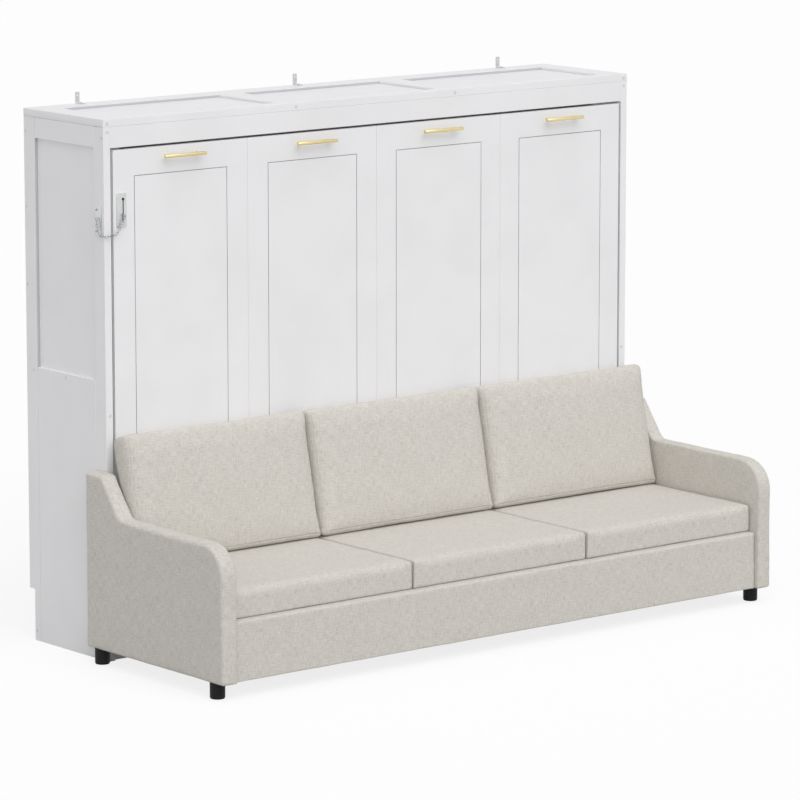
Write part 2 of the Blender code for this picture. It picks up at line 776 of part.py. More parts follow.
def make_strut(side, black, chrome, parent):
    """Gas strut: the cylinder turns on the cabinet's stud, and the rod's end follows the bed's lug."""
    suffix = side_name(side)
    anchor = Vector((side * STRUT_X, ANCHOR.y, ANCHOR.z))
    lug = Vector((side * STRUT_X, LUG.y, LUG.z))
    direction = (lug - anchor).normalized()
    length = (lug - anchor).length
    swing = axis_at(f"strut_swing_axis_{suffix}", anchor, parent)
    neck = STRUT_EYE_NECK
    mouth = neck + STRUT_CYLINDER_L
    cylinder_profile = [
        (0, neck - STRUT_EYE_R / 2),
        (STRUT_ROD_R, neck - STRUT_EYE_R / 2),
        (STRUT_ROD_R, neck),
        (STRUT_R - EASED_EDGE, neck),
        (STRUT_R, neck + EASED_EDGE),
        (STRUT_R, mouth - EASED_EDGE),
        (STRUT_R - EASED_EDGE, mouth),
        (STRUT_BORE_R, mouth),
        (STRUT_BORE_R, neck + STRUT_END_WALL),
        (0, neck + STRUT_END_WALL),
    ]
    cylinder = turned(
        f"strut_cylinder_{suffix}", black, cylinder_profile, anchor, direction, parent=swing, origin=anchor
    )
    half = Vector((STRUT_EYE_W / 2, 0, 0))
    eye = pin_helper(
        f"strut_eye_{suffix}", STRUT_EYE_R, anchor - half, (1, 0, 0), STRUT_EYE_W, parent=swing
    )
    combine(cylinder, eye, "UNION")
    hole_start = anchor - half * 2
    hole = pin_helper(
        f"strut_eye_hole_{suffix}",
        STUD_R + RUNNING_GAP,
        hole_start,
        (1, 0, 0),
        STRUT_EYE_W * 2,
        parent=swing,
    )
    combine(cylinder, hole, "DIFFERENCE")
    rod_start = mouth - STRUT_ROD_OVERLAP
    rod_profile = bar_profile(STRUT_ROD_R, length - rod_start, EASED_EDGE)
    rod = turned(
        f"strut_rod_{suffix}",
        chrome,
        rod_profile,
        anchor + direction * rod_start,
        direction,
        parent=swing,
    )
    socket = pin_helper(
        f"strut_socket_{suffix}", STRUT_EYE_R, lug - half, (1, 0, 0), STRUT_EYE_W, parent=swing
    )
    combine(rod, socket, "UNION")


def make_support_leg(side, steel, parent):
    """A flat bar in the gap beside the front, which hangs upright however the bed lies."""
    suffix = side_name(side)
    middle_x = (FRONT_HALF_W + SIDE_INNER_X) / 2
    near, far = middle_x - LEG_BAR_T / 2, middle_x + LEG_BAR_T / 2
    half = LEG_BAR_W / 2
    round_top = half - EASED_EDGE
    outline = rounded_outline(
        [
            (LEG_PIVOT_Y - half, LEG_PIVOT_Z - LEG_REACH, LEG_BAR_T),
            (LEG_PIVOT_Y + half, LEG_PIVOT_Z - LEG_REACH, LEG_BAR_T),
            (LEG_PIVOT_Y + half, LEG_PIVOT_Z + half, round_top),
            (LEG_PIVOT_Y - half, LEG_PIVOT_Z + half, round_top),
        ]
    )
    pivot = Vector((side * middle_x, LEG_PIVOT_Y, LEG_PIVOT_Z))
    swing = axis_at(f"leg_swing_axis_{suffix}", pivot, parent)
    leg = prism(
        f"support_leg_{suffix}", steel, "YZ", outline, side * near, side * far, swing, origin=pivot
    )
    length = middle_x - (RAIL_OUTER_X - LEG_PIN_SEAT)
    pin = pin_helper(f"support_leg_pin_{suffix}", LEG_PIN_R, pivot, (-side, 0, 0), length, parent=swing)
    combine(leg, pin, "UNION")


def link_mesh(centre, along, flat):
    """One chain link: wire bent round an oval that lies along one direction and in one plane."""
    along = along.normalized()
    flat = (flat - along * flat.dot(along)).normalized()
    out = along.cross(flat)
    build = bmesh.new()
    rings = []
    for count in range(LINK_POINTS):
        turn = 2 * math.pi * (count + 0.5) / LINK_POINTS
        bend = Vector((math.cos(turn), math.sin(turn)))
        shift = math.copysign(LINK_STRAIGHT / 2, bend.x)
        middle = centre + along * (LINK_BEND_R * bend.x + shift) + flat * (LINK_BEND_R * bend.y)
        radial = (along * bend.x + flat * bend.y).normalized()
        ring = []
        for step in range(LINK_SIDES):
            angle = 2 * math.pi * step / LINK_SIDES
            offset = radial * math.cos(angle) + out * math.sin(angle)
            ring.append(build.verts.new(middle + LINK_WIRE_R * offset))
        rings.append(ring)
    for count in range(LINK_POINTS):
        first, second = rings[count], rings[(count + 1) % LINK_POINTS]
        for step in range(LINK_SIDES):
            after = (step + 1) % LINK_SIDES
            build.faces.new((first[step], first[after], second[after], second[step]))
    return build


def smooth_route(points, count):
    """Points along a rounded curve through the given ones, at equal steps."""
    dense = []
    padded = [2 * points[0] - points[1], *points, 2 * points[-1] - points[-2]]
    for index in range(1, len(padded) - 2):
        p0, p1, p2, p3 = padded[index - 1 : index + 3]
        for step in range(count):
            t = step / count
            a = 2 * p1
            b = p2 - p0
            c = 2 * p0 - 5 * p1 + 4 * p2 - p3
            d = -p0 + 3 * p1 - 3 * p2 + p3
            dense.append((a + b * t + c * t * t + d * t * t * t) / 2)
    dense.append(points[-1])
    return dense


def equal_steps(dense, step):
    """Places one step apart along a dense curve, counted back from its end."""
    places = [dense[-1]]
    for here in reversed(dense):
        gap = (here - places[-1]).length
        if gap >= step:
            places.append(places[-1] + (here - places[-1]) * step / gap)
    return list(reversed(places))


def make_safety_chain(chrome, steel, bed, parent):
    """Plate with a keyhole slot on the first front, and the chain whose knob slides in it."""
    plate_left = -FRONT_HALF_W + CHAIN_PLATE_INSET
    plate_right = plate_left + CHAIN_PLATE_W
    corner = CHAIN_PLATE_CORNER_R
    high = DOOR_TOP_Z - CHAIN_PLATE_DROP
    low = high - CHAIN_PLATE_H
    outline = rounded_outline(
        [
            (plate_left, low, corner),
            (plate_right, low, corner),
            (plate_right, high, corner),
            (plate_left, high, corner),
        ]
    )
    plate_back = FRONT_Y - GAP
    plate_front = plate_back - CHAIN_PLATE_T
    plate = prism("chain_slide_plate", steel, "XZ", outline, plate_front, plate_back, bed)
    slot_x = plate_left + SLOT_INSET
    slot_low = low + SLOT_FOOT
    slot = rounded_outline(
        [
            (slot_x - SLOT_R, slot_low, 0),
            (slot_x + SLOT_R, slot_low, 0),
            (slot_x + SLOT_R, slot_low + SLOT_L, 0),
            (slot_x - SLOT_R, slot_low + SLOT_L, 0),
        ]
    )
    cut = (plate_front - OVERRUN, plate_back + OVERRUN)
    combine(plate, prism("chain_plate_slot", None, "XZ", slot, *cut, bed), "DIFFERENCE")
    keyhole_start = (slot_x, cut[0], slot_low + SLOT_L)
    keyhole = pin_helper(
        "chain_plate_keyhole", KEYHOLE_R, keyhole_start, (0, 1, 0), cut[1] - cut[0], FINE_SIDES, bed
    )
    combine(plate, keyhole, "DIFFERENCE")

    knob_z = slot_low + KNOB_RISE
    out_y = FRONT_Y - CHAIN_STANDOFF
    out_x = -HALF_W - CHAIN_STANDOFF
    sag_z = knob_z - CHAIN_SAG
    start_y = FRONT_Y + CHAIN_START_Y
    bend = CHAIN_CORNER_R
    route = [
        Vector((out_x, start_y, knob_z - KNOB_R)),
        Vector((out_x, start_y - bend / 4, knob_z - CHAIN_SAG / 2)),
        Vector((out_x, start_y - bend, sag_z + bend / 4)),
        Vector((out_x + bend / 4, out_y + bend / 2, sag_z)),
        Vector((out_x + bend, out_y, sag_z)),
        Vector(((out_x + slot_x) / 2 + bend / 2, out_y, sag_z + bend / 4)),
        Vector((slot_x - bend, out_y, knob_z - CHAIN_SAG * 0.6)),
        Vector((slot_x - KNOB_R / 2, out_y, knob_z - CHAIN_SAG / 4)),
        Vector((slot_x, out_y, knob_z)),
    ]
    pitch = LINK_STRAIGHT + 2 * LINK_BEND_R - 2 * LINK_WIRE_R + LINK_FUSE
    places = equal_steps(smooth_route(route, LINK_POINTS * 2), pitch)
    outward = Vector((-1, -1, 0)).normalized()
    sets = [bmesh.new(), bmesh.new()]
    for index in range(len(places) - 1):
        along = places[index + 1] - places[index]
        flat = outward if index % 2 else outward.cross(along)
        link = link_mesh((places[index] + places[index + 1]) / 2, along, flat)
        add_mesh(sets[index % 2], link)
    last = len(places) % 2
    head = turned_mesh(
        bar_profile(KNOB_R, KNOB_T, EASED_EDGE), (slot_x, out_y + KNOB_T / 2, knob_z), (0, -1, 0), FINE_SIDES
    )
    shank_length = plate_back - GAP - out_y
    shank = turned_mesh(
        bar_profile(KNOB_SHANK_R, shank_length), (slot_x, out_y, knob_z), (0, 1, 0), FINE_SIDES
    )
    add_mesh(sets[1 - last], head)
    chain = object_of("safety_chain", sets[last], chrome, origin=(slot_x, out_y, knob_z), parent=parent)
    others = object_of("safety_chain_other_links", sets[1 - last], None, parent=parent)
    combine(chain, others, "UNION")
    combine(chain, object_of("safety_chain_shank", shank, None, parent=parent), "UNION")

    anchor_front = FRONT_Y + ANCHOR_Y
    anchor_top = knob_z + ANCHOR_TOP_RISE
    anchor_outline = rounded_outline(
        [
            (anchor_front, anchor_top - ANCHOR_H, corner),
            (anchor_front + ANCHOR_W, anchor_top - ANCHOR_H, corner),
            (anchor_front + ANCHOR_W, anchor_top, corner),
            (anchor_front, anchor_top, corner),
        ]
    )
    face_x = -HALF_W - GAP
    anchor = prism("chain_anchor", steel, "YZ", anchor_outline, face_x, face_x - ANCHOR_T)
    ear_start = (face_x - ANCHOR_T / 2, start_y, knob_z - KNOB_R)
    ear_length = ANCHOR_T / 2 + ANCHOR_EAR_T
    ear = pin_helper("chain_anchor_ear", ANCHOR_EAR_R, ear_start, (-1, 0, 0), ear_length, FINE_SIDES)
    combine(anchor, ear, "UNION")


def cushion_mesh(size, thickness, crowns, edge_r, draw_in, cells):
    """A cushion in its own axes: X along, Z up its face, Y through it, front at -Y.

    Both faces swell to their middle by the two crowns, the sides draw in between the
    corners, and the rims are rounded.
    """
    along, up = cells
    half_x, half_z, half_y = size[0] / 2, size[1] / 2, thickness / 2

    def shares(count):
        """Grid lines from -1 to 1 that crowd towards the edges."""
        return [math.sin(math.pi / 2 * (2 * index / count - 1)) for index in range(count + 1)]

    def swell(u, v):
        return ((1 - u * u) * (1 - v * v)) ** CUSHION_EDGE_SHARE

    def outline(u, v, inset):
        """Where a grid point lies, with the sides drawn in and the grid inset."""
        x = u * (half_x - inset - draw_in * (1 - v * v) * abs(u))
        z = v * (half_z - inset - draw_in * (1 - u * u) * abs(v))
        return x, z

    us, vs = shares(along), shares(up)
    build = bmesh.new()
    faces = {}
    for sign, crown in zip((-1, 1), crowns):
        for i, u in enumerate(us):
            for j, v in enumerate(vs):
                x, z = outline(u, v, edge_r)
                y = sign * (half_y + crown * swell(u, v))
                faces[sign, i, j] = build.verts.new((x, y, z))
        for i in range(along):
            for j in range(up):
                quad = [faces[sign, i, j], faces[sign, i + 1, j]]
                quad += [faces[sign, i + 1, j + 1], faces[sign, i, j + 1]]
                build.faces.new(quad)
    rim = [(i, 0) for i in range(along)] + [(along, j) for j in range(up)]
    rim += [(i, up) for i in range(along, 0, -1)] + [(0, j) for j in range(up, 0, -1)]
    tuck = edge_r * (1 - math.sqrt(0.5))
    steps = (
        (-half_y + tuck, tuck),
        (-half_y + edge_r, 0),
        (half_y - edge_r, 0),
        (half_y - tuck, tuck),
    )
    rings = [[faces[-1, i, j] for i, j in rim]]
    for y, inset in steps:
        ring = []
        for i, j in rim:
            x, z = outline(us[i], vs[j], inset)
            corner = abs(us[i]) * abs(vs[j])
            pull = 1 - corner**6 * (edge_r - inset) / (half_x + half_z)
            ring.append(build.verts.new((x * pull, y, z * pull)))
        rings.append(ring)
    rings.append([faces[1, i, j] for i, j in rim])
    for first, second in zip(rings, rings[1:]):
        for index in range(len(rim)):
            after = (index + 1) % len(rim)
            build.faces.new((first[index], first[after], second[after], second[index]))
    return build


def make_seat_cushions(fabric, parent):
    pitch = 2 * (ARM_INNER_X - GAP) / SEAT_COUNT
    front = SOFA_FRONT_Y + SEAT_SETBACK
    back = FRONT_Y - SEAT_BACK_GAP
    rotation = Matrix.Rotation(math.radians(-90), 4, "X")
    for index in range(SEAT_COUNT):
        middle = (index - (SEAT_COUNT - 1) / 2) * pitch
        size = (pitch - SEAT_SEAM_GAP, back - front)
        cells = (CUSHION_CELLS_ALONG, CUSHION_CELLS_UP)
        build = cushion_mesh(size, SEAT_T, (SEAT_CROWN, 0), SEAT_EDGE_R, SEAT_DRAW_IN, cells)
        centre = Vector((middle, (front + back) / 2, SEAT_TOP_Z - SEAT_T / 2))
        bmesh.ops.transform(build, matrix=Matrix.Translation(centre) @ rotation, verts=build.verts)
        object_of(f"seat_cushion_{index + 1}", build, fabric, parent=parent, smooth=math.radians(60))


def cushion_path():
    """Axis and turn that carry a back cushion from its lean to lying on the floor before the bed."""
    half_t = BACK_CUSHION_EDGE_T / 2
    half_h = BACK_CUSHION_H / 2
    lean_cos, lean_sin = math.cos(BACK_CUSHION_LEAN), math.sin(BACK_CUSHION_LEAN)
    top_back = Vector((half_h * lean_sin + half_t * lean_cos, half_h * lean_cos - half_t * lean_sin))
    swollen_back = (half_t + BACK_CUSHION_CROWN) / lean_cos
    reach = max(top_back.x, swollen_back)
    centre_y = FRONT_Y - GAP - reach
    centre_z = SEAT_TOP_Z + SEAT_CROWN + GAP + half_h * lean_cos - half_t * lean_sin
    rest = Vector((centre_y, centre_z))
    turn = math.pi / 2 + BACK_CUSHION_LEAN
    free_edge_y = PIVOT.y - (DOOR_TOP_Z - PIVOT.z)
    laid = Vector((free_edge_y - CUSHION_REACH, half_t + BACK_CUSHION_CROWN + CUSHION_FLOOR_CLEARANCE))
    chord = laid - rest
    across = Vector((-chord.y, chord.x))
    axis = (rest + laid) / 2 + across / (2 * math.tan(turn / 2))
    return rest, axis, turn


def make_back_cushions(fabric, parent):
    rest, axis, turn = cushion_path()
    pitch = 2 * (ARM_INNER_X - GAP) / SEAT_COUNT
    marker = axis_at("back_cushion_swing_axis", (0, axis.x, axis.y), parent)
    rotation = Matrix.Rotation(-BACK_CUSHION_LEAN, 4, "X")
    floor_z = SEAT_TOP_Z + SEAT_CROWN + GAP
    for index in range(SEAT_COUNT):
        middle = (index - (SEAT_COUNT - 1) / 2) * pitch
        size = (pitch - BACK_CUSHION_SEAM_GAP, BACK_CUSHION_H)
        crowns = (BACK_CUSHION_CROWN, BACK_CUSHION_CROWN)
        cells = (CUSHION_CELLS_ALONG, CUSHION_CELLS_UP)
        build = cushion_mesh(
            size, BACK_CUSHION_EDGE_T, crowns, BACK_CUSHION_EDGE_R, BACK_CUSHION_DRAW_IN, cells
        )
        place = Matrix.Translation((middle, rest.x, rest.y))
        bmesh.ops.transform(build, matrix=place @ rotation, verts=build.verts)
        for vert in build.verts:
            vert.co.z = max(vert.co.z, floor_z)
            vert.co.y = min(vert.co.y, FRONT_Y - GAP)
        origin = (middle, axis.x, axis.y)
        name = f"back_cushion_{index + 1}"
        object_of(name, build, fabric, origin, marker, smooth=math.radians(60))


def arm_outline():
    """Side view of an arm: a high back corner, a steep hollow sweep and a round front."""
    back = FRONT_Y + ARM_WRAP
    shoulder = back - ARM_BACK_FLAT
    hollow = shoulder - ARM_KINK_RUN
    bottom = SOFA_LEG_H + GAP
    return rounded_outline(
        [
            (SOFA_FRONT_Y, bottom, ARM_FOOT_R),
            (back, bottom, ARM_FOOT_R),
            (back, ARM_BACK_H, ARM_FOOT_R),
            (shoulder, ARM_BACK_H, ARM_SHOULDER_R),
            (hollow, ARM_TOP_H, ARM_HOLLOW_R),
            (SOFA_FRONT_Y, ARM_TOP_H - ARM_FRONT_DROP, ARM_FRONT_R),
        ]
    )


def make_bearers(board, front, back, parent):
    """Back rail of the sofa's base, with a bearer under each joint between seat cushions."""
    half_x = ARM_INNER_X - GAP
    rail_front = back - BEARER_T
    top = BASE_TOP_Z - DECK_T - GAP
    outline = [(half_x, rail_front), (half_x, back), (-half_x, back), (-half_x, rail_front)]
    for index in range(1, SEAT_COUNT):
        middle = 2 * half_x * (index / SEAT_COUNT - 1 / 2)
        left, right = middle - BEARER_T / 2, middle + BEARER_T / 2
        outline += [(left, rail_front), (left, front), (right, front), (right, rail_front)]
    prism("seat_bearers", board, "XY", outline, top - BEARER_H, top, parent, edge=EASED_EDGE)


def make_sofa(fabric, plastic, board, parent):
    for side in (-1, 1):
        suffix = side_name(side)
        across = span(side, ARM_INNER_X, ARM_OUTER_X)
        prism(
            f"sofa_arm_{suffix}",
            fabric,
            "YZ",
            arm_outline(),
            *across,
            parent,
            edge=ARM_EDGE_R,
            segments=2,
        )
        for place, leg_y in (
            ("front", SOFA_FRONT_Y + SOFA_LEG_FRONT_INSET),
            ("back", FRONT_Y + ARM_WRAP - SOFA_LEG_BACK_INSET),
        ):
            foot = SOFA_LEG_R - SOFA_LEG_TAPER
            profile = [
                (0, 0),
                (foot - EASED_EDGE, 0),
                (foot, EASED_EDGE),
                (SOFA_LEG_R, SOFA_LEG_H),
                (0, SOFA_LEG_H),
            ]
            spot = (side * (ARM_INNER_X + ARM_T / 2), leg_y, 0)
            turned(f"sofa_leg_{place}_{suffix}", plastic, profile, spot, (0, 0, 1), parent=parent)
    between = (-ARM_INNER_X + GAP, ARM_INNER_X - GAP)
    rail_back = BASE_FRONT_Y + BASE_RAIL_T
    rail_z = (SOFA_LEG_H + GAP, BASE_TOP_Z)
    block("base_front_rail", fabric, between, (BASE_FRONT_Y, rail_back), rail_z, parent, BASE_EDGE_R, 2)
    deck_back = FRONT_Y - SEAT_BACK_GAP
    deck_y = (rail_back + GAP, deck_back)
    block("seat_deck", board, between, deck_y, (BASE_TOP_Z - DECK_T, BASE_TOP_Z), parent)
    make_bearers(board, rail_back + GAP, deck_back, parent)
    make_seat_cushions(fabric, parent)
    make_back_cushions(fabric, parent)


def main():
    clear_scene()
    board = finish_of("white_board", (0.80, 0.80, 0.81), 0.45)
    gold = finish_of("pale_gold", (0.83, 0.62, 0.28), 0.30, 1.0)
    zinc = finish_of("zinc_steel", (0.62, 0.63, 0.63), 0.38, 1.0)
    chrome = finish_of("chrome", (0.75, 0.75, 0.76), 0.15, 1.0)
    black = finish_of("black_enamel", (0.02, 0.02, 0.02), 0.40)
    plastic = finish_of("black_plastic", (0.015, 0.015, 0.015), 0.50)
    fabric = finish_of("beige_weave", (0.60, 0.56, 0.50), 0.95)
    wood = finish_of("pale_wood", (0.62, 0.47, 0.30), 0.60)
    steel = finish_of("dark_steel", (0.30, 0.30, 0.31), 0.45, 1.0)

    make_cabinet(board)
    bracket_x = HALF_W - BRACKET_INSET
    for name, place in (("left", -bracket_x), ("middle", 0), ("right", bracket_x)):
        make_wall_bracket(f"wall_bracket_{name}", place, zinc)
    bed = axis_at("bed_fold_axis", PIVOT)
    make_bed(board, gold, wood, bed)
    for side in (-1, 1):
        make_cabinet_hinge(side, steel)
        make_bed_hinge(side, steel, bed)
        make_strut(side, black, chrome, None)
        make_support_leg(side, steel, bed)
    make_safety_chain(chrome, zinc, bed, bed)
    sofa = axis_at("sofa_slide_axis", (0, FRONT_Y, 0))
    make_sofa(fabric, plastic, board, sofa)


main()
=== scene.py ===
"""Looks of a wall bed with a sofa in front of it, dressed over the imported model."""
import math

import bmesh
import bpy
import numpy as np
from mathutils import Matrix, Vector, noise


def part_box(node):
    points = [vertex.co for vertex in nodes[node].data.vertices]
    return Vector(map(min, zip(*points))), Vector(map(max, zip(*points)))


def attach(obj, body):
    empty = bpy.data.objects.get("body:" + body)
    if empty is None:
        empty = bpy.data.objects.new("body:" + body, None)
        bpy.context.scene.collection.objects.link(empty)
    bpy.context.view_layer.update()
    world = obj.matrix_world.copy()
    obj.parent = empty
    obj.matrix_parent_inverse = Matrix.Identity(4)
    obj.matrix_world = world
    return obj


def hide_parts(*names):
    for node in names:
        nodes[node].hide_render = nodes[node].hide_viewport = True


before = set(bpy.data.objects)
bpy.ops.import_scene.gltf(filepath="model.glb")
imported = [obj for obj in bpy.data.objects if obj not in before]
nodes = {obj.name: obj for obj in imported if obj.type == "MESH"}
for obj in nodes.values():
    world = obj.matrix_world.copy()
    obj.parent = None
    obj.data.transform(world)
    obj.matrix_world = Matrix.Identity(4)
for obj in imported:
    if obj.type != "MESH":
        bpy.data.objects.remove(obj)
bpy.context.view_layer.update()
scene = bpy.context.scene

X_AXIS, Y_AXIS, Z_AXIS = range(3)


# Materials


def srgb(red, green, blue):
    """A colour given as it shows on a screen, from 0 to 255, in linear values."""
    shares = [channel / 255 for channel in (red, green, blue)]
    return [s / 12.92 if s <= 0.04045 else ((s + 0.055) / 1.055) ** 2.4 for s in shares]


def add(tree, kind, inputs=None, **settings):
    """A new shader node; its inputs take values or other nodes' outputs."""
    node = tree.nodes.new("ShaderNode" + kind)
    for key, value in settings.items():
        setattr(node, key, value)
    for key, value in (inputs or {}).items():
        if isinstance(value, bpy.types.NodeSocket):
            tree.links.new(value, node.inputs[key])
        else:
            node.inputs[key].default_value = value
    return node


def calc(tree, operation, *values):
    """The output of a Math node."""
    return add(tree, "Math", dict(enumerate(values)), operation=operation).outputs[0]


def material(name, metallic=0.0, **sockets):
    """A material with one Principled shader, whose uniform values are set on its sockets."""
    made = bpy.data.materials.new(name)
    made.use_nodes = True
    tree = made.node_tree
    tree.nodes.clear()
    shader = add(tree, "BsdfPrincipled", {"Metallic": metallic})
    for key, value in sockets.items():
        shader.inputs[key.replace("_", " ")].default_value = value
    output = add(tree, "OutputMaterial")
    tree.links.new(shader.outputs[0], output.inputs[0])
    return made, tree, shader


def ramp(tree, factor, stops):
    """A colour ramp through stops of (position, colour)."""
    node = add(tree, "ValToRGB", {0: factor})
    elements = node.color_ramp.elements
    while len(elements) < len(stops):
        elements.new(0.5)
    for element, (position, colour) in zip(elements, stops):
        element.position = position
        element.color = (*colour, 1)
    return node.outputs[0]


def spread(tree, value, low, high):
    """Maps a noise value's usual range to the range low to high."""
    usual_low, usual_high = 0.3, 0.7
    inputs = {0: value, 1: usual_low, 2: usual_high, 3: low, 4: high}
    return add(tree, "MapRange", inputs).outputs[0]


def grain(tree, where, scale, detail=2.0, stretch=(1, 1, 1)):
    """Noise whose pattern is finer along an axis with a larger stretch."""
    mapped = add(tree, "Mapping", {"Vector": where, "Scale": stretch})
    inputs = {"Vector": mapped.outputs[0], "Scale": scale, "Detail": detail}
    return add(tree, "TexNoise", inputs).outputs[0]


def finish(tree, shader, colour, rough, height, distance, strength=1.0):
    """Joins colour, roughness and bump to a material's shader."""
    tree.links.new(colour, shader.inputs["Base Color"])
    tree.links.new(rough, shader.inputs["Roughness"])
    inputs = {"Strength": strength, "Distance": distance, "Height": height}
    tree.links.new(add(tree, "Bump", inputs).outputs[0], shader.inputs["Normal"])


def plain_coat(
    name, dark, light, rough, scale, distance, metallic=0.0, stretch=(1, 1, 1), shades=(), **sockets
):
    """A smooth finish: a faint tone and gloss variation and a fine surface texture.

    rough is the roughness' range, scale and distance belong to the surface texture, and shades
    are (colour, axis, low, high): the colour shows instead between low and high there.
    """
    wide_scale, fine_detail, share = 5.0, 3.0, 0.5
    tone_range, shade_lift = (0.35, 0.65), 1.06
    made, tree, shader = material(name, metallic, **sockets)
    where = add(tree, "TexCoord").outputs["Object"]
    wide = grain(tree, where, wide_scale)
    fine = grain(tree, where, scale, fine_detail, stretch)
    wide_part = calc(tree, "MULTIPLY", wide, share)
    fine_part = calc(tree, "MULTIPLY", fine, share)
    mixed = calc(tree, "ADD", wide_part, fine_part)
    colour = ramp(tree, mixed, list(zip(tone_range, (dark, light))))
    at = add(tree, "SeparateXYZ", {0: where}).outputs
    for shade, axis, low, high in shades:
        above = calc(tree, "GREATER_THAN", at[axis], low)
        below = calc(tree, "LESS_THAN", at[axis], high)
        lifted = [channel * shade_lift for channel in shade]
        other = ramp(tree, mixed, list(zip(tone_range, (shade, lifted))))
        inputs = {0: calc(tree, "MULTIPLY", above, below), 6: colour, 7: other}
        colour = add(tree, "Mix", inputs, data_type="RGBA").outputs[2]
    finish(tree, shader, colour, spread(tree, mixed, *rough), fine, distance)
    return made


def linen(name):
    """Plain woven linen: crossed threads with slubs, found from each face's own direction."""
    thread_pitch, steep = 0.0017, 0.7
    slub_share, blotch_share, weave_share, middle = 0.15, 0.035, 0.05, 0.5
    slub_height, weave_height, drift_range = 0.25, 0.3, (-0.6, 0.6)
    warm_tones = [(0.0, srgb(182, 172, 156)), (0.5, srgb(216, 210, 198)), (1.0, srgb(238, 233, 223))]
    cool_tones = [(0.0, srgb(176, 173, 168)), (0.5, srgb(213, 211, 208)), (1.0, srgb(236, 235, 232))]
    made, tree, shader = material(
        name, Sheen_Weight=0.12, Sheen_Roughness=0.6, Specular_IOR_Level=0.2
    )
    place = add(tree, "TexCoord")
    at = add(tree, "SeparateXYZ", {0: place.outputs["Object"]}).outputs
    normal = add(tree, "SeparateXYZ", {0: place.outputs["Normal"]}).outputs
    on_side = calc(tree, "GREATER_THAN", calc(tree, "ABSOLUTE", normal[0]), steep)
    on_top = calc(tree, "GREATER_THAN", calc(tree, "ABSOLUTE", normal[2]), steep)

    def choose(factor, plain, other):
        return add(tree, "Mix", {0: factor, 2: plain, 3: other}).outputs[0]

    across = choose(on_side, at[0], at[1])
    up = choose(on_top, at[2], at[1])
    flat = add(tree, "CombineXYZ", {0: across, 1: up}).outputs[0]

    weft = grain(tree, flat, scale=1.0, stretch=(42, 330, 1))
    warp = grain(tree, flat, scale=1.0, stretch=(330, 42, 1))
    yarn = grain(tree, flat, scale=1.0, detail=1.0, stretch=(70, 210, 5))
    blotch = grain(tree, place.outputs["Object"], scale=22.0, detail=3.0)
    drift = spread(tree, grain(tree, flat, scale=55.0), *drift_range)

    thread = 2 * math.pi / thread_pitch
    over = calc(tree, "SINE", calc(tree, "MULTIPLY_ADD", across, thread, drift))
    under = calc(tree, "SINE", calc(tree, "MULTIPLY_ADD", up, thread, drift))
    weave = calc(tree, "MULTIPLY", over, under)

    slubs = calc(tree, "ADD", spread(tree, weft, -1, 1), spread(tree, warp, -1, 1))
    tone = calc(tree, "MULTIPLY_ADD", slubs, slub_share, middle)
    tone = calc(tree, "MULTIPLY_ADD", spread(tree, blotch, -1, 1), blotch_share, tone)
    tone = calc(tree, "MULTIPLY_ADD", weave, weave_share, tone)
    warm, cool = ramp(tree, tone, warm_tones), ramp(tree, tone, cool_tones)
    inputs = {0: spread(tree, yarn, 0, 1), 6: warm, 7: cool}
    colour = add(tree, "Mix", inputs, data_type="RGBA").outputs[2]
    woven = calc(tree, "MULTIPLY", weave, weave_height)
    height = calc(tree, "MULTIPLY_ADD", slubs, slub_height, woven)
    rough = spread(tree, weft, 0.86, 0.98)
    finish(tree, shader, colour, rough, height, distance=0.0006, strength=0.7)
    return made


def pale_wood(name):
    """Pine: the grain runs up the slats and along the bearers under them."""
    slat_depth, ring_count = 0.0155, 42
    ring_share, pore_share, base_tone = 0.13, 0.5, 0.28
    stops = [(0.1, srgb(190, 152, 104)), (0.5, srgb(217, 186, 142)), (0.9, srgb(232, 207, 168))]
    made, tree, shader = material(name)
    place = add(tree, "TexCoord").outputs["Object"]
    at = add(tree, "SeparateXYZ", {0: place}).outputs
    slat_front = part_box("slat_deck")[1].y - slat_depth
    on_slat = calc(tree, "GREATER_THAN", at[1], slat_front)
    along = add(tree, "Mix", {0: on_slat, 2: at[0], 3: at[2]}).outputs[0]
    across = add(tree, "Mix", {0: on_slat, 2: at[2], 3: at[0]}).outputs[0]
    flat = add(tree, "CombineXYZ", {0: along, 1: across, 2: at[1]}).outputs[0]
    bands = grain(tree, flat, scale=1.0, detail=3.0, stretch=(1.6, 46, 46))
    pores = grain(tree, flat, scale=1.0, stretch=(30, 900, 900))
    rings = calc(tree, "SINE", calc(tree, "MULTIPLY", bands, ring_count))
    pore_tone = calc(tree, "MULTIPLY_ADD", pores, pore_share, base_tone)
    tone = calc(tree, "MULTIPLY_ADD", rings, ring_share, pore_tone)
    colour, rough = ramp(tree, tone, stops), spread(tree, pores, 0.5, 0.68)
    finish(tree, shader, colour, rough, pores, distance=0.0002)
    return made


def coat(name, dark, light, rough, scale, distance, **others):
    """A plain coat whose dark and light tones are given as they show on a screen."""
    return plain_coat(name, srgb(*dark), srgb(*light), rough, scale, distance, **others)


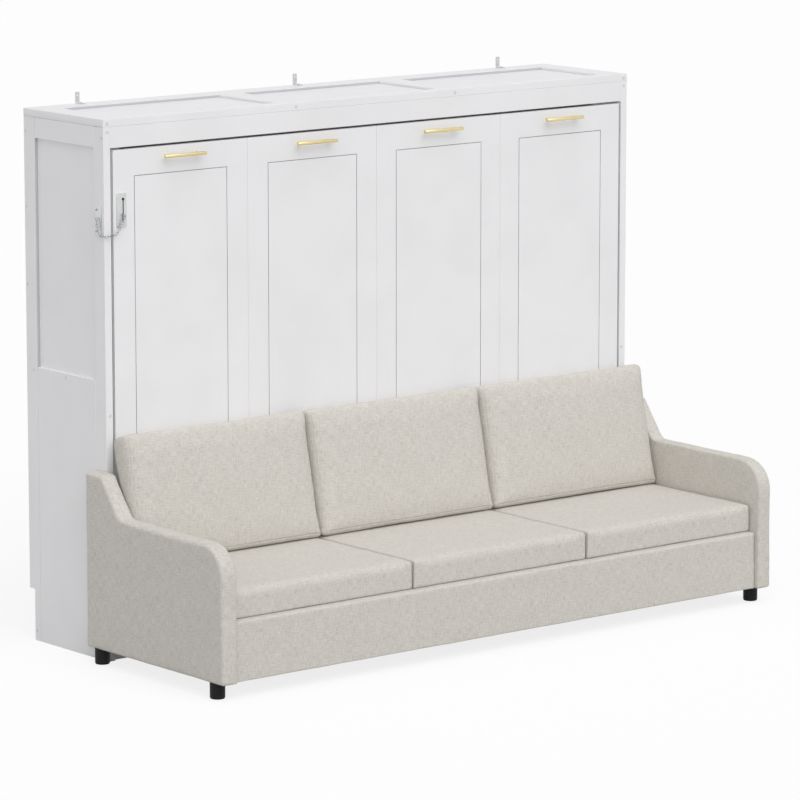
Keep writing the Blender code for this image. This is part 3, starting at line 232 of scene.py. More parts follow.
board = ((240, 240, 242), (246, 246, 248), (0.38, 0.5), 420, 0.00004)
gold = ((220, 203, 148), (236, 220, 170), (0.26, 0.4), 900, 0.00003)
zinc = ((196, 199, 198), (220, 222, 221), (0.3, 0.5), 160, 0.00003)
chrome = ((142, 144, 147), (176, 178, 181), (0.1, 0.2), 240, 0.00001)
powder = ((66, 68, 71), (84, 86, 89), (0.42, 0.58), 1400, 0.00008)
enamel = ((22, 22, 24), (32, 32, 34), (0.22, 0.34), 500, 0.00003)
plastic = ((17, 17, 18), (25, 25, 26), (0.45, 0.6), 1100, 0.00008)
looks = {
    "white_board": coat("white_board_painted", *board),
    "pale_gold": coat("pale_gold_brushed", *gold, metallic=1.0, stretch=(0.04, 1, 1)),
    "zinc_steel": coat("zinc_plated_steel", *zinc, metallic=1.0),
    "chrome": coat("chrome_plated", *chrome, metallic=1.0),
    "dark_steel": coat("grey_powder_coat", *powder),
    "black_enamel": coat("black_enamelled_tube", *enamel, Coat_Weight=0.3),
    "black_plastic": coat("black_moulded_plastic", *plastic, Specular_IOR_Level=0.2),
    "beige_weave": linen("beige_linen_weave"),
    "pale_wood": pale_wood("pine_slats"),
}
cap_grey = coat("grey_cap_plastic", (219, 219, 222), (228, 228, 230), (0.45, 0.6), 800, 0.00005)
# Dark felt, which paints the shade in the gap under the header.
felt = coat("dark_felt_painted_shade", (40, 40, 42), (58, 58, 60), (0.85, 1.0), 1800, 0.0002, Sheen_Weight=0.1)
rubber = coat("black_rubber", (30, 30, 30), (42, 42, 42), (0.75, 0.9), 900, 0.0001)

for node in nodes.values():
    for slot in node.material_slots:
        slot.material = looks[slot.material.name.split(".")[0]]


def shade_boards():
    """Painted shade on boards: grey in the doors' grooves and on recess walls, where little light
    reaches, and a darker top, where most light falls.
    """
    skin, hair = 0.0006, 0.0004
    groove_low, groove_high = 0.0008, 0.0036
    rail_rise, above_all = 0.008, 1
    top_face_painted_shade, groove_painted_shade = srgb(231, 231, 233), srgb(180, 180, 184)
    top_wall_painted_shade, side_wall_painted_shade = srgb(196, 196, 200), srgb(190, 190, 194)

    def shade(names, shades):
        made = coat(f"white_board_{names[0]}", *board, shades=shades)
        for name in names:
            nodes[name].material_slots[0].material = made

    def wall(name, tone):
        return tone, Y_AXIS, 0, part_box(name)[0].y + skin

    front_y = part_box("door_panel_1")[0].y
    top_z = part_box("top_panel")[1].z + rail_rise
    # Painted shade: the top's upward faces are darker, where most light falls.
    upward = (top_face_painted_shade, Z_AXIS, top_z - hair, top_z + above_all)
    # Painted shade: grey in the doors' grooves.
    groove = (groove_painted_shade, Y_AXIS, front_y + groove_low, front_y + groove_high)
    rails = [name for name in nodes if name.startswith(("top_end", "top_cross"))]
    shade([f"door_panel_{number}" for number in range(1, 5)], [groove])
    shade(["top_panel"], [(top_face_painted_shade, Z_AXIS, 0, top_z + above_all)])
    shade(["top_front_rail", *rails], [upward])
    # Painted shade on the recess walls of the top's back rail and of the sides' back stiles.
    shade(["top_back_rail"], [wall("top_back_rail", top_wall_painted_shade), upward])
    sides = ["side_back_stile_left", "side_back_stile_right"]
    shade(sides, [wall(sides[0], side_wall_painted_shade)])


shade_boards()
nodes["seat_deck"].material_slots[0].material = looks["beige_weave"]


# Building pieces


def piece(name, build, finish_of, body, replaces=(), smooth=35):
    """Turns a bmesh into a named piece that rides on a CAD body."""
    bmesh.ops.recalc_face_normals(build, faces=build.faces)
    mesh = bpy.data.meshes.new(name)
    build.to_mesh(mesh)
    build.free()
    made = bpy.data.objects.new(name, mesh)
    scene.collection.objects.link(made)
    mesh.materials.append(finish_of)
    mesh.shade_smooth()
    mesh.set_sharp_from_angle(angle=math.radians(smooth))
    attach(made, body)
    if replaces:
        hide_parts(*replaces)


def facing(direction):
    """A turn that brings +Z onto the direction."""
    return Vector(direction).to_track_quat("Z", "Y").to_matrix().to_4x4()


def lathe(build, profile, place, direction, sides=24, dent=None):
    """A turned solid on the axis direction from place; profile is (radius, height) from axis to axis.

    dent(ring, step) lowers a point of the profile, as for a driver's slots.
    """
    turn = Matrix.Translation(place) @ facing(direction)
    rings = []
    for index, (radius, height) in enumerate(profile):
        if radius == 0:
            rings.append([build.verts.new(turn @ Vector((0, 0, height)))])
            continue
        ring = []
        for step in range(sides):
            angle = 2 * math.pi * step / sides
            low = dent(index, step) if dent else 0
            spot = Vector((radius * math.cos(angle), radius * math.sin(angle), height - low))
            ring.append(build.verts.new(turn @ spot))
        rings.append(ring)
    for first, second in zip(rings, rings[1:]):
        for step in range(sides):
            after = (step + 1) % sides
            if len(first) == 1:
                build.faces.new((first[0], second[step], second[after]))
            elif len(second) == 1:
                build.faces.new((first[step], second[0], first[after]))
            else:
                build.faces.new((first[step], second[step], second[after], first[after]))


def screw(build, place, direction, radius=0.004, height=0.0018):
    """A pan-head screw with a cross recess."""
    shares = ((0, 0), (1, 0), (1, 0.4), (0.88, 0.75), (0.62, 0.95), (0.4, 1), (0.18, 1), (0, 0.55))
    slot_ring, floor_ring, steps_per_slot, recess_share = 5, 6, 6, 0.42

    def dent(ring, step):
        in_slot = ring == slot_ring and step % steps_per_slot == 0
        return height * recess_share if ring == floor_ring or in_slot else 0

    lathe(build, [(radius * r, height * h) for r, h in shares], place, direction, dent=dent)


def bolt(build, place, direction, radius=0.0055, height=0.0034):
    """A hexagon bolt head on a washer, with a hair between them."""
    washer_share, hair = 0.2, 0.00002
    washer_shares = ((0, 0), (1.25, 0), (1.25, washer_share), (0, washer_share))
    head_shares = ((0, 0), (1, 0), (1, 0.68), (0.86, 0.8), (0, 0.8))
    washer, head = ([(radius * r, height * h) for r, h in s] for s in (washer_shares, head_shares))
    lathe(build, washer, place, direction)
    seat = Vector(place) + Vector(direction) * (height * washer_share + hair)
    lathe(build, head, seat, direction, sides=6)


def rounded(corners, per_corner=8):
    """An outline with each corner (a, b, radius) rounded by an arc."""
    points = []
    count = len(corners)
    for index, (a, b, radius) in enumerate(corners):
        here = Vector((a, b))
        before = (Vector(corners[index - 1][:2]) - here).normalized()
        after = (Vector(corners[(index + 1) % count][:2]) - here).normalized()
        if radius == 0:
            points.append(here)
            continue
        half = before.angle(after) / 2
        reach = radius / math.tan(half)
        middle = here + (before + after).normalized() * (radius / math.sin(half))
        start, end = here + before * reach - middle, here + after * reach - middle
        turn = start.angle_signed(end)
        for step in range(per_corner + 1):
            angle = -turn * step / per_corner
            points.append(middle + Matrix.Rotation(angle, 2) @ start)
    return points


def loft(build, loops):
    """Faces from each closed loop of vertices to the next one, and over both ends."""
    count = len(loops[0])
    for first, second in zip(loops, loops[1:]):
        for index in range(count):
            after = (index + 1) % count
            build.faces.new((first[index], first[after], second[after], second[index]))
    build.faces.new(loops[0])
    build.faces.new(loops[-1])


def extruded(name, outline, stations, axis, finish_of, body):
    """A strip of constant section: outline lies across the axis, stations along it."""
    build = bmesh.new()
    loops = []
    for station in stations:
        spots = []
        for point in outline:
            spot = list(point)
            spot.insert(axis, station)
            spots.append(build.verts.new(spot))
        loops.append(spots)
    loft(build, loops)
    piece(name, build, finish_of, body)


# Soft pieces


def grid_lines(half, low, high, count):
    """Lines from -half to half: low and high are the distances of the outer ones from each end."""
    middle = np.linspace(-half + low[-1], half - high[-1], count + 1)[1:-1]
    return [-half + d for d in low] + list(middle) + [half - d for d in reversed(high)]


def pad(half, lines, radii, crowns, draw_in):
    """A closed box cushion, front at -Y: rounded rims, crowned faces, sides drawn in.

    radii(spot) gives the rims' radius along X, Y and Z there, and crowns are the front's and
    the back's. Returns the bmesh, each vertex's grid key and the last key on each axis.
    """
    squareness, draw_power = 3, 4
    build = bmesh.new()
    keys = {}

    def point(*key):
        if key in keys:
            return keys[key]
        spot = Vector([lines[axis][key[axis]] for axis in range(3)])
        soft = radii(spot)
        core = Vector([max(-h + r, min(h - r, c)) for c, h, r in zip(spot, half, soft)])
        away = spot - core
        flat = abs(away.x / soft[0]) ** squareness + abs(away.z / soft[2]) ** squareness
        flat **= 1 / squareness
        spot = core + away / max(math.hypot(flat, away.y / soft[1]), 1)
        u, v = spot.x / half.x, spot.z / half.z
        swell = math.sqrt(max(0, (1 - u * u) * (1 - v * v)))
        spot.y *= 1 + crowns[0 if spot.y < 0 else 1] / half.y * swell
        spot.x -= math.copysign(draw_in * (1 - v * v) * abs(u) ** draw_power, u)
        spot.z -= math.copysign(draw_in * (1 - u * u) * abs(v) ** draw_power, v)
        keys[key] = build.verts.new(spot)
        return keys[key]

    last = [len(line) - 1 for line in lines]
    for axis in range(3):
        p, q = [a for a in range(3) if a != axis]
        for end in (0, last[axis]):
            for m in range(last[p]):
                for n in range(last[q]):
                    corners = []
                    for dm, dn in ((0, 0), (1, 0), (1, 1), (0, 1)):
                        key = [0, 0, 0]
                        key[axis], key[p], key[q] = end, m + dm, n + dn
                        corners.append(point(*key))
                    build.faces.new(corners)
    order = [None] * len(keys)
    build.verts.index_update()
    for key, vert in keys.items():
        order[vert.index] = key
    return build, order, last


def temporary(build):
    """An object without a look, to work on."""
    bmesh.ops.recalc_face_normals(build, faces=build.faces)
    mesh = bpy.data.meshes.new("soft_work")
    build.to_mesh(mesh)
    build.free()
    made = bpy.data.objects.new("soft_work", mesh)
    scene.collection.objects.link(made)
    return made


def points_of(mesh):
    """A mesh's vertices as an array."""
    flat = np.empty(len(mesh.vertices) * 3, np.float32)
    mesh.vertices.foreach_get("co", flat)
    return flat.reshape(-1, 3).astype(float)


def swollen(made, pressure, cap, frames=20):
    """Points of a closed cover after the cloth solver has blown it up, each moved cap at most."""
    rest = points_of(made.data)
    cloth = made.modifiers.new("cloth", "CLOTH")
    cloth.settings.quality = 4
    cloth.settings.use_pressure = True
    cloth.settings.uniform_pressure_force = pressure
    cloth.settings.effector_weights.gravity = 0
    cloth.point_cache.frame_start, cloth.point_cache.frame_end = 1, frames
    for number in range(1, frames + 1):
        scene.frame_set(number)
    shown = made.evaluated_get(bpy.context.evaluated_depsgraph_get())
    move = points_of(shown.data) - rest
    made.modifiers.remove(cloth)
    scene.frame_set(1)
    length = np.linalg.norm(move, axis=1, keepdims=True)
    return rest + move * np.minimum(1, cap / np.maximum(length, 1e-9))


def normals_of(mesh):
    return np.array([vertex.normal[:] for vertex in mesh.vertices])


def rumple(points, normals, seed, amount, scale):
    """Moves points along their normals by a slow noise, as loose cloth on foam lies."""
    seed_steps, fine_scale, fine_share = (7.3, 3.1, 5.7), 2.7, 0.4
    offset = Vector([seed * step for step in seed_steps])
    waves = [noise.noise(Vector(p) * scale + offset) for p in points]
    fine = [noise.noise(Vector(p) * scale * fine_scale + offset) * fine_share for p in points]
    return points + normals * ((np.array(waves) + np.array(fine)) * amount)[:, None]


def cover(name, mesh, points, body, place, replaces, smoothing=1):
    """A copy of a worked mesh with its final points, as a linen piece."""
    own = mesh.copy()
    own.name = name
    own.vertices.foreach_set("co", points.astype(np.float32).ravel())
    own.update()
    own.materials.clear()
    own.materials.append(looks["beige_weave"])
    own.shade_smooth()
    made = bpy.data.objects.new(name, own)
    scene.collection.objects.link(made)
    made.matrix_world = place
    if smoothing:
        made.modifiers.new("smooth", "SUBSURF").render_levels = smoothing
    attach(made, body)
    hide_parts(*replaces)


def stitched(point, normal, key, seam_row, last, half):
    """Sinks the seams round a back cushion's front, with the cloth gathered beside them."""
    bottom_seam, top_seam, side_seam = 0.0048, 0.0012, 0.0022
    gather_depth, gather_reach, scale_x, scale_z, noise_y = 0.0022, 0.045, 14, 85, 3.7
    i, j, k = key
    depth = 0
    if j == 0 and k == seam_row:
        depth = bottom_seam
    elif j == 0 and k == last[2]:
        depth = top_seam
    elif j == 0 and k >= seam_row and i in (0, last[0]):
        depth = side_seam
    beside = max(0, 1 - (half.x - abs(point[0])) / gather_reach)
    waves = noise.noise(Vector((point[0] * scale_x, noise_y, point[2] * scale_z)))
    return point + normal * (waves * gather_depth * beside - depth)


def eased(share):
    """A share held within 0 and 1, with a smooth start and end."""
    share = min(1, max(0, share))
    return share * share * (3 - 2 * share)


CUSHIONS, ARM_PLAY = 3, 0.0003
PITCH = 2 * (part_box("sofa_arm_right")[0].x - ARM_PLAY) / CUSHIONS
LEAN = math.radians(-12)
BACK_PLACE = Vector((0, 0.0300, 0.5430))


def make_back_cushions():
    gap, depth, height = 0.002, 0.100, 0.424
    bottom, bottom_widening, zone = 0.018, 0.009, 0.09
    front_radii, back_radii = (0.036, 0.021, 0.034), (0.044, 0.040, 0.044)
    edge = (0, 0.0016, 0.004, 0.010, 0.018, 0.028, 0.040)
    seam, seam_row = (0, 0.003, 0.0065, 0.0100, 0.0120, 0.0134, 0.0148, 0.0185, 0.026), 5
    columns, layers, rows, held_share, clip_gap = 52, 3, 36, 0.3, 0.0006
    seat_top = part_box("back_cushion_1")[0].z
    front_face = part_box("back_cushion_1")[1].y
    half = Vector((PITCH - gap, depth, height)) / 2

    def radii(spot):
        """Tight at the bottom, where the cushion sits, rounder at the top corners and behind."""
        side, top, corner = front_radii if spot.y < 0 else back_radii
        rise = eased((spot.z + half.z) / zone)
        near_top = eased((spot.z - half.z + zone) / zone)
        near_side = eased((abs(spot.x) - half.x + zone) / zone)
        rim = bottom + (side - bottom) * rise
        across = rim + (corner - side) * near_top + bottom_widening * (1 - rise)
        deep = rim + (top - side) * near_top
        up = bottom if spot.z < 0 else top + (corner - top) * near_side
        return across, deep, up

    lines = (
        grid_lines(half.x, edge, edge, columns),
        grid_lines(half.y, edge[:5], edge, layers),
        grid_lines(half.z, seam, edge, rows),
    )
    build, order, last = pad(half, lines, radii, crowns=(0.012, 0.010), draw_in=0.0012)
    work = temporary(build)
    rest = points_of(work.data)
    move = swollen(work, pressure=4.0, cap=0.008) - rest
    for axis in (X_AXIS, Z_AXIS):
        move[move[:, axis] * rest[:, axis] < 0, axis] *= held_share
    soft = rest + move
    normals = normals_of(work.data)
    turn = Matrix.Rotation(LEAN, 4, "X")
    limit = PITCH / 2 - clip_gap
    for index in range(CUSHIONS):
        aside = Vector(((index - CUSHIONS // 2) * PITCH, 0, 0))
        place = Matrix.Translation(BACK_PLACE + aside) @ turn
        points = rumple(soft, normals, seed=index + 1, amount=0.0015, scale=8.0)
        points[:, 0] = np.clip(points[:, 0], -limit, limit)
        back = place.inverted()
        for number, key in enumerate(order):
            points[number] = stitched(points[number], normals[number], key, seam_row, last, half)
            spot = place @ Vector(points[number])
            if spot.z < seat_top or spot.y > front_face:
                spot.z, spot.y = max(spot.z, seat_top), min(spot.y, front_face)
                points[number] = back @ spot
        name = f"back_cushion_{index + 1}"
        cover(f"{name}_cover", work.data, points, name, place, [name])
    bpy.data.objects.remove(work)


def make_seat_cushions():
    gap, top_room, depth_room, zone = 0.0024, 0.003, 0.002, 0.06
    edge = (0, 0.0015, 0.004, 0.009, 0.017, 0.025)
    tight, front_wide = 0.008, (0.026, 0.027)
    corner_drop, back_radii = (0.015, 0.013), (0.007, 0.009, 0.009)
    columns, layers, rows, clip_gap, bulge = 44, 5, 36, 0.0004, 0.001
    low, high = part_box("seat_cushion_2")
    half = Vector((PITCH - gap, high.z - low.z - top_room, high.y - low.y - depth_room)) / 2
    centre = Vector((0, (low.y + high.y) / 2, low.z + half.y))

    def radii(spot):
        """Soft along the front's top edge, tight beside the next cushion and underneath."""
        if spot.y >= 0:
            return back_radii
        near_side = eased((abs(spot.x) - half.x + zone) / zone)
        deep, up = (wide - drop * near_side for wide, drop in zip(front_wide, corner_drop))
        return tight, deep, up

    lines = (
        grid_lines(half.x, edge, edge, columns),
        grid_lines(half.y, edge, edge[:4], layers),
        grid_lines(half.z, edge, edge, rows),
    )
    work = temporary(pad(half, lines, radii, crowns=(0.003, 0), draw_in=0.0004)[0])
    soft = swollen(work, pressure=2.5, cap=0.004)
    normals = normals_of(work.data)
    turn = Matrix.Rotation(math.radians(-90), 4, "X")
    limit = PITCH / 2 - clip_gap
    for index in range(CUSHIONS):
        aside = Vector(((index - CUSHIONS // 2) * PITCH, 0, 0))
        place = Matrix.Translation(centre + aside) @ turn
        points = rumple(soft, normals, seed=index + 11, amount=0.0011, scale=8.0)
        points[:, 0] = np.clip(points[:, 0], -limit, limit)
        points[:, 1] = np.clip(points[:, 1], centre.z - high.z, centre.z - low.z)
        points[:, 2] = np.clip(points[:, 2], low.y - bulge - centre.y, high.y - centre.y)
        name = f"seat_cushion_{index + 1}"
        cover(f"{name}_cover", work.data, points, "sofa", place, [name])
    bpy.data.objects.remove(work)


def make_base_rail():
    back_radius, bottom_radius, top_radius = 0.0012, 0.004, 0.008
    edge, padding, bulge = (0, 0.0015, 0.004, 0.008), 0.0008, 0.001
    columns, layers, rows = 150, 2, 14
    name = "base_front_rail"
    low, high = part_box(name)
    half, centre = (high - low) / 2, (low + high) / 2

    def radii(spot):
        """Crisp behind, rounder along the front's top edge."""
        front_radius = bottom_radius if spot.z < 0 else top_radius
        return (front_radius if spot.y < 0 else back_radius,) * 3

    lines = (
        grid_lines(half.x, edge, edge, columns),
        grid_lines(half.y, edge, edge, layers),
        grid_lines(half.z, edge, edge, rows),
    )
    work = temporary(pad(half, lines, radii, crowns=(0.001, 0), draw_in=0)[0])
    soft = swollen(work, pressure=1.0, cap=0.0015)
    normals = normals_of(work.data)
    points = rumple(soft, normals, seed=21, amount=0.0008, scale=9.0) + normals * padding
    for axis, room in enumerate((0, bulge, 0)):
        near, far = low[axis] - centre[axis] - room, high[axis] - centre[axis]
        points[:, axis] = np.clip(points[:, axis], near, far)
    place = Matrix.Translation(centre)
    cover(f"{name}_cover", work.data, points, "sofa", place, [name])
    bpy.data.objects.remove(work)


def arm_build(low, high):
    """The right arm as a closed prism whose side view is its outline, with rounded edges."""
    shoulder, sweep_y, sweep_z, front_z = high.y - 0.088, 0.1, 0.494, 0.490
    inner_radius, outer_radius, quarter_steps = 0.005, 0.0125, 4
    underside, underside_share = 0.01, 0.35
    outline = rounded(
        [
            (low.y, low.z, 0.006),
            (high.y, low.z, 0.006),
            (high.y, high.z, 0.005),
            (shoulder, high.z, 0.016),
            (shoulder - sweep_y, sweep_z, 0.040),
            (low.y, front_z, 0.104),
        ]
    )
    count = len(outline)
    outward = []
    for index in range(count):
        along = outline[(index + 1) % count] - outline[index - 1]
        outward.append(Vector((along.y, -along.x)).normalized())
    rings = []
    for step in range(2 * quarter_steps + 1):
        angle = math.pi / 2 * abs(step - quarter_steps) / quarter_steps
        edge, radius, inward = (high.x, outer_radius, -1)
        if step < quarter_steps:
            edge, radius, inward = (low.x, inner_radius, 1)
        across, inset = radius * (1 - math.sin(angle)), radius * (1 - math.cos(angle))
        rings.append((edge + inward * across, inset))
    rings.insert(quarter_steps, (low.x + inner_radius, 0))
    build = bmesh.new()
    loops = []
    for x, inset in rings:
        loop = []
        for spot, normal in zip(outline, outward):
            share = underside_share if spot.y < low.z + underside else 1
            inner = spot - normal * inset * share
            loop.append(build.verts.new((x, inner.x, inner.y)))
        loops.append(loop)
    loft(build, loops)
    return build


def make_arms():
    padding, bulge = 0.002, 0.001
    low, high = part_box("sofa_arm_right")
    work = temporary(arm_build(low, high))
    remesh = work.modifiers.new("voxels", "REMESH")
    remesh.mode, remesh.voxel_size = "VOXEL", 0.005
    even = work.modifiers.new("even", "SMOOTH")
    even.iterations, even.factor = 2, 0.5
    shown = work.evaluated_get(bpy.context.evaluated_depsgraph_get())
    mesh = bpy.data.meshes.new_from_object(shown)
    work.modifiers.clear()
    work.data = mesh
    soft = swollen(work, pressure=2.0, cap=0.002)
    normals = normals_of(mesh)
    for side, suffix in ((-1, "left"), (1, "right")):
        points = rumple(soft, normals, seed=31 + side, amount=0.0012, scale=8.0) + normals * padding
        points[:, 0] = np.clip(points[:, 0], low.x, high.x + bulge)
        points[:, 1] = np.clip(points[:, 1], low.y - bulge, high.y + bulge)
        points[:, 2] = np.clip(points[:, 2], low.z, high.z + bulge)
        own = mesh.copy()
        if side < 0:
            points[:, 0] *= -1
            own.flip_normals()
        name = f"sofa_arm_{suffix}"
        place = Matrix.Identity(4)
        cover(f"{name}_cover", own, points, "sofa", place, [name], smoothing=0)
    bpy.data.objects.remove(work)


# Hardware


def make_handles():
    """Round bars, each on two posts that widen where they meet the front."""
    radius, chamfer, bar_depth, post_inset = 0.0058, 0.0009, 0.0048, 0.022
    flare = ((0.0032, 0.0045), (0.0036, 0.0025), (0.0046, 0.0014), (0.005, 0.0005), (0.005, 0))
    for index in range(1, 5):
        name = f"door_handle_{index}"
        low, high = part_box(name)
        bar_y, bar_z = low.y + bar_depth, (low.z + high.z) / 2
        length, middle = high.x - low.x, (low.x + high.x) / 2
        end = [(0, 0), (radius - chamfer, 0), (radius - chamfer / 3, chamfer / 3), (radius, chamfer)]
        profile = end + [(r, length - h) for r, h in end[::-1]]
        build = bmesh.new()
        lathe(build, profile, (low.x, bar_y, bar_z), (1, 0, 0), sides=32)
        piece(f"{name}_bar", build, looks["pale_gold"], "bed", [name])
        reach = high.y - bar_y
        post = [(0, 0), (flare[0][0], 0)] + [(r, reach - h) for r, h in flare] + [(0, reach)]
        for side, word in ((-1, "left"), (1, "right")):
            x = middle + side * (length / 2 - post_inset)
            build = bmesh.new()
            lathe(build, post, (x, bar_y, bar_z), (0, 1, 0), sides=28)
            piece(f"{name}_post_{word}", build, looks["pale_gold"], "bed")


def make_screw_caps():
    """Small grey caps over the cabinet's screws, on its front edges and both sides."""
    cap = [(0, 0), (0.0056, 0), (0.0055, 0.0004), (0.0047, 0.0008), (0.0028, 0.001), (0, 0.00105)]
    front_spots = [(-1.0965, 1.7462), (-1.0965, 1.7195), (-1.0965, 0.806), (-0.338, 1.7475)]
    front_spots += [(-x, z) for x, z in front_spots]
    side_spots = [(0.5545, 1.688), (0.5545, 1.441), (0.5545, 1.185), (0.5255, 0.905)]
    side_spots += [(0.3455, 0.903), (0.1335, 1.701), (0.5265, 0.035)]
    front_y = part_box("side_front_stile_left")[0].y
    side_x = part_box("side_front_stile_right")[1].x
    build = bmesh.new()
    for x, z in front_spots:
        lathe(build, cap, (x, front_y, z), (0, -1, 0), sides=20)
    for y, z in side_spots:
        for side in (-1, 1):
            lathe(build, cap, (side * side_x, y, z), (side, 0, 0), sides=20)
    piece("screw_caps", build, cap_grey, "cabinet")


def make_cabinet_screws():
    """One screw in each wall bracket's foot and two in the chain's anchor."""
    foot_depth, foot_share, foot_t = 0.034, 0.65, 0.0025
    anchor_inset, anchor_shift = 0.010, 0.008
    build = bmesh.new()
    for place in ("left", "middle", "right"):
        low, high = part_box(f"wall_bracket_{place}")
        spot = ((low.x + high.x) / 2, high.y - foot_depth * foot_share, low.z + foot_t)
        screw(build, spot, (0, 0, 1), radius=0.0045, height=0.0022)
    low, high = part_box("chain_anchor")
    y = (low.y + high.y) / 2 + anchor_shift
    for z in (low.z + anchor_inset, high.z - anchor_inset):
        screw(build, (low.x, y, z), (-1, 0, 0), radius=0.0034, height=0.0014)
    piece("cabinet_screws", build, looks["chrome"], "cabinet")


def make_bed_screws():
    """Screws in the corners of the chain's slide plate, and where slats cross bearers."""
    left_inset, right_inset, end_inset = 0.006, 0.0052, 0.0065
    slats, bearers, edge_inset = 13, 4, 0.045
    build = bmesh.new()
    low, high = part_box("chain_slide_plate")
    for x in (low.x + left_inset, high.x - right_inset):
        for z in (low.z + end_inset, high.z - end_inset):
            screw(build, (x, low.y, z), (0, -1, 0), radius=0.0027, height=0.0011)
    low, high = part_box("slat_deck")
    for column in range(slats):
        x = low.x + edge_inset + (high.x - low.x - 2 * edge_inset) * column / (slats - 1)
        for row in range(bearers):
            z = low.z + (high.z - low.z) * (row + 0.5) / bearers
            screw(build, (x, high.y, z), (0, 1, 0), radius=0.0042, height=0.0012)
    piece("bed_screws", build, looks["zinc_steel"], "bed")


def make_hinge_bolts():
    """Bolts of the pivots' plates on the cabinet's sides."""
    plate_t = 0.005
    spots = ((0.160, 0.50), (0.205, 0.50), (0.160, 0.66), (0.205, 0.66), (0.160, 0.806))
    for side, suffix in ((-1, "left"), (1, "right")):
        build = bmesh.new()
        low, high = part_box(f"hinge_plate_{suffix}")
        face = side * (max(abs(low.x), abs(high.x)) - plate_t)
        for y, z in spots:
            bolt(build, (face, y, z), (-side, 0, 0))
        piece(f"hinge_bolts_{suffix}", build, looks["zinc_steel"], "cabinet")


def make_gap_shade_felt():
    """Dark felt on the bed's head rail: a closing buffer, and a dark sheet that paints the shade in
    the gap under the header.
    """
    end_inset, front_inset, width, thickness, radius = 0.012, 0.006, 0.050, 0.0016, 0.0007
    station_count = 40
    low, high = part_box("bed_head_rail")
    near = low.y + front_inset
    far, top = near + width, high.z + thickness
    corners = [(near, high.z, 0), (far, high.z, 0), (far, top, radius), (near, top, radius)]
    stations = np.linspace(low.x + end_inset, high.x - end_inset, station_count)
    outline = rounded(corners, per_corner=3)
    # The dark felt strip paints the shade in the gap under the header.
    extruded("gap_shade_felt_strip", outline, stations, X_AXIS, felt, "bed")


def make_edge_bands():
    """Edge band on the top's ends, which covers the rails' end grain and joints."""
    thickness, inset, radius, station_count = 0.0005, 0.0008, 0.0002, 12
    low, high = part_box("top_front_rail")[0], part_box("top_back_rail")[1]
    bottom, top = low.z + inset, high.z - inset
    stations = np.linspace(low.y + inset, high.y - inset, station_count)
    for side, suffix in ((-1, "left"), (1, "right")):
        near, far = sorted((side * high.x, side * (high.x + thickness)))
        corners = ((near, bottom), (far, bottom), (far, top), (near, top))
        outline = rounded([(x, z, radius) for x, z in corners], per_corner=3)
        look = looks["white_board"]
        extruded(f"top_edge_band_{suffix}", outline, stations, Y_AXIS, look, "cabinet")


SLOT_INSET = 0.025
SLOT_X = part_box("chain_slide_plate")[0].x + SLOT_INSET


def make_slot_shade_strip():
    """Dark rubber on the front behind the chain's slot: a pad, and a dark sheet that paints the shade
    in the slot's depth.
    """
    half_width, end_inset, radius, hair, back = 0.007, 0.009, 0.003, 0.00006, 0.00024
    low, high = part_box("chain_slide_plate")
    near, far = SLOT_X - half_width, SLOT_X + half_width
    bottom, top = low.z + end_inset, high.z - end_inset
    corners = ((near, bottom), (far, bottom), (far, top), (near, top))
    outline = rounded([(x, z, radius) for x, z in corners], per_corner=5)
    # The dark strip paints the shade inside the slot.
    extruded("slot_shade_strip", outline, (high.y + hair, high.y + back), Y_AXIS, rubber, "bed")


def make_sofa_legs():
    """Turned legs with a glide below and a collar above, given as (inset, height) from an end."""
    glide = ((0.004, 0), (0.0022, 0.0006), (0.0014, 0.0024), (0.0014, 0.003))
    glide += ((0.0006, 0.0036), (0.0004, 0.006))
    collar = ((0.0001, 0.004), (0, 0.003), (0, 0))
    for place in ("front", "back"):
        for side in ("left", "right"):
            name = f"sofa_leg_{place}_{side}"
            low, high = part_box(name)
            radius, height = (high.x - low.x) / 2, high.z - low.z
            profile = [(0, 0)] + [(radius - inset, up) for inset, up in glide]
            profile += [(radius - inset, height - down) for inset, down in collar] + [(0, height)]
            foot = ((low.x + high.x) / 2, (low.y + high.y) / 2, low.z)
            build = bmesh.new()
            lathe(build, profile, foot, (0, 0, 1), sides=40)
            look = looks["black_plastic"]
            piece(f"{name}_turned", build, look, "sofa", [name])


LINK_STRAIGHT, LINK_BEND, WIRE_RADIUS, LINK_PLAY = 0.006, 0.003, 0.00105, 0.0001


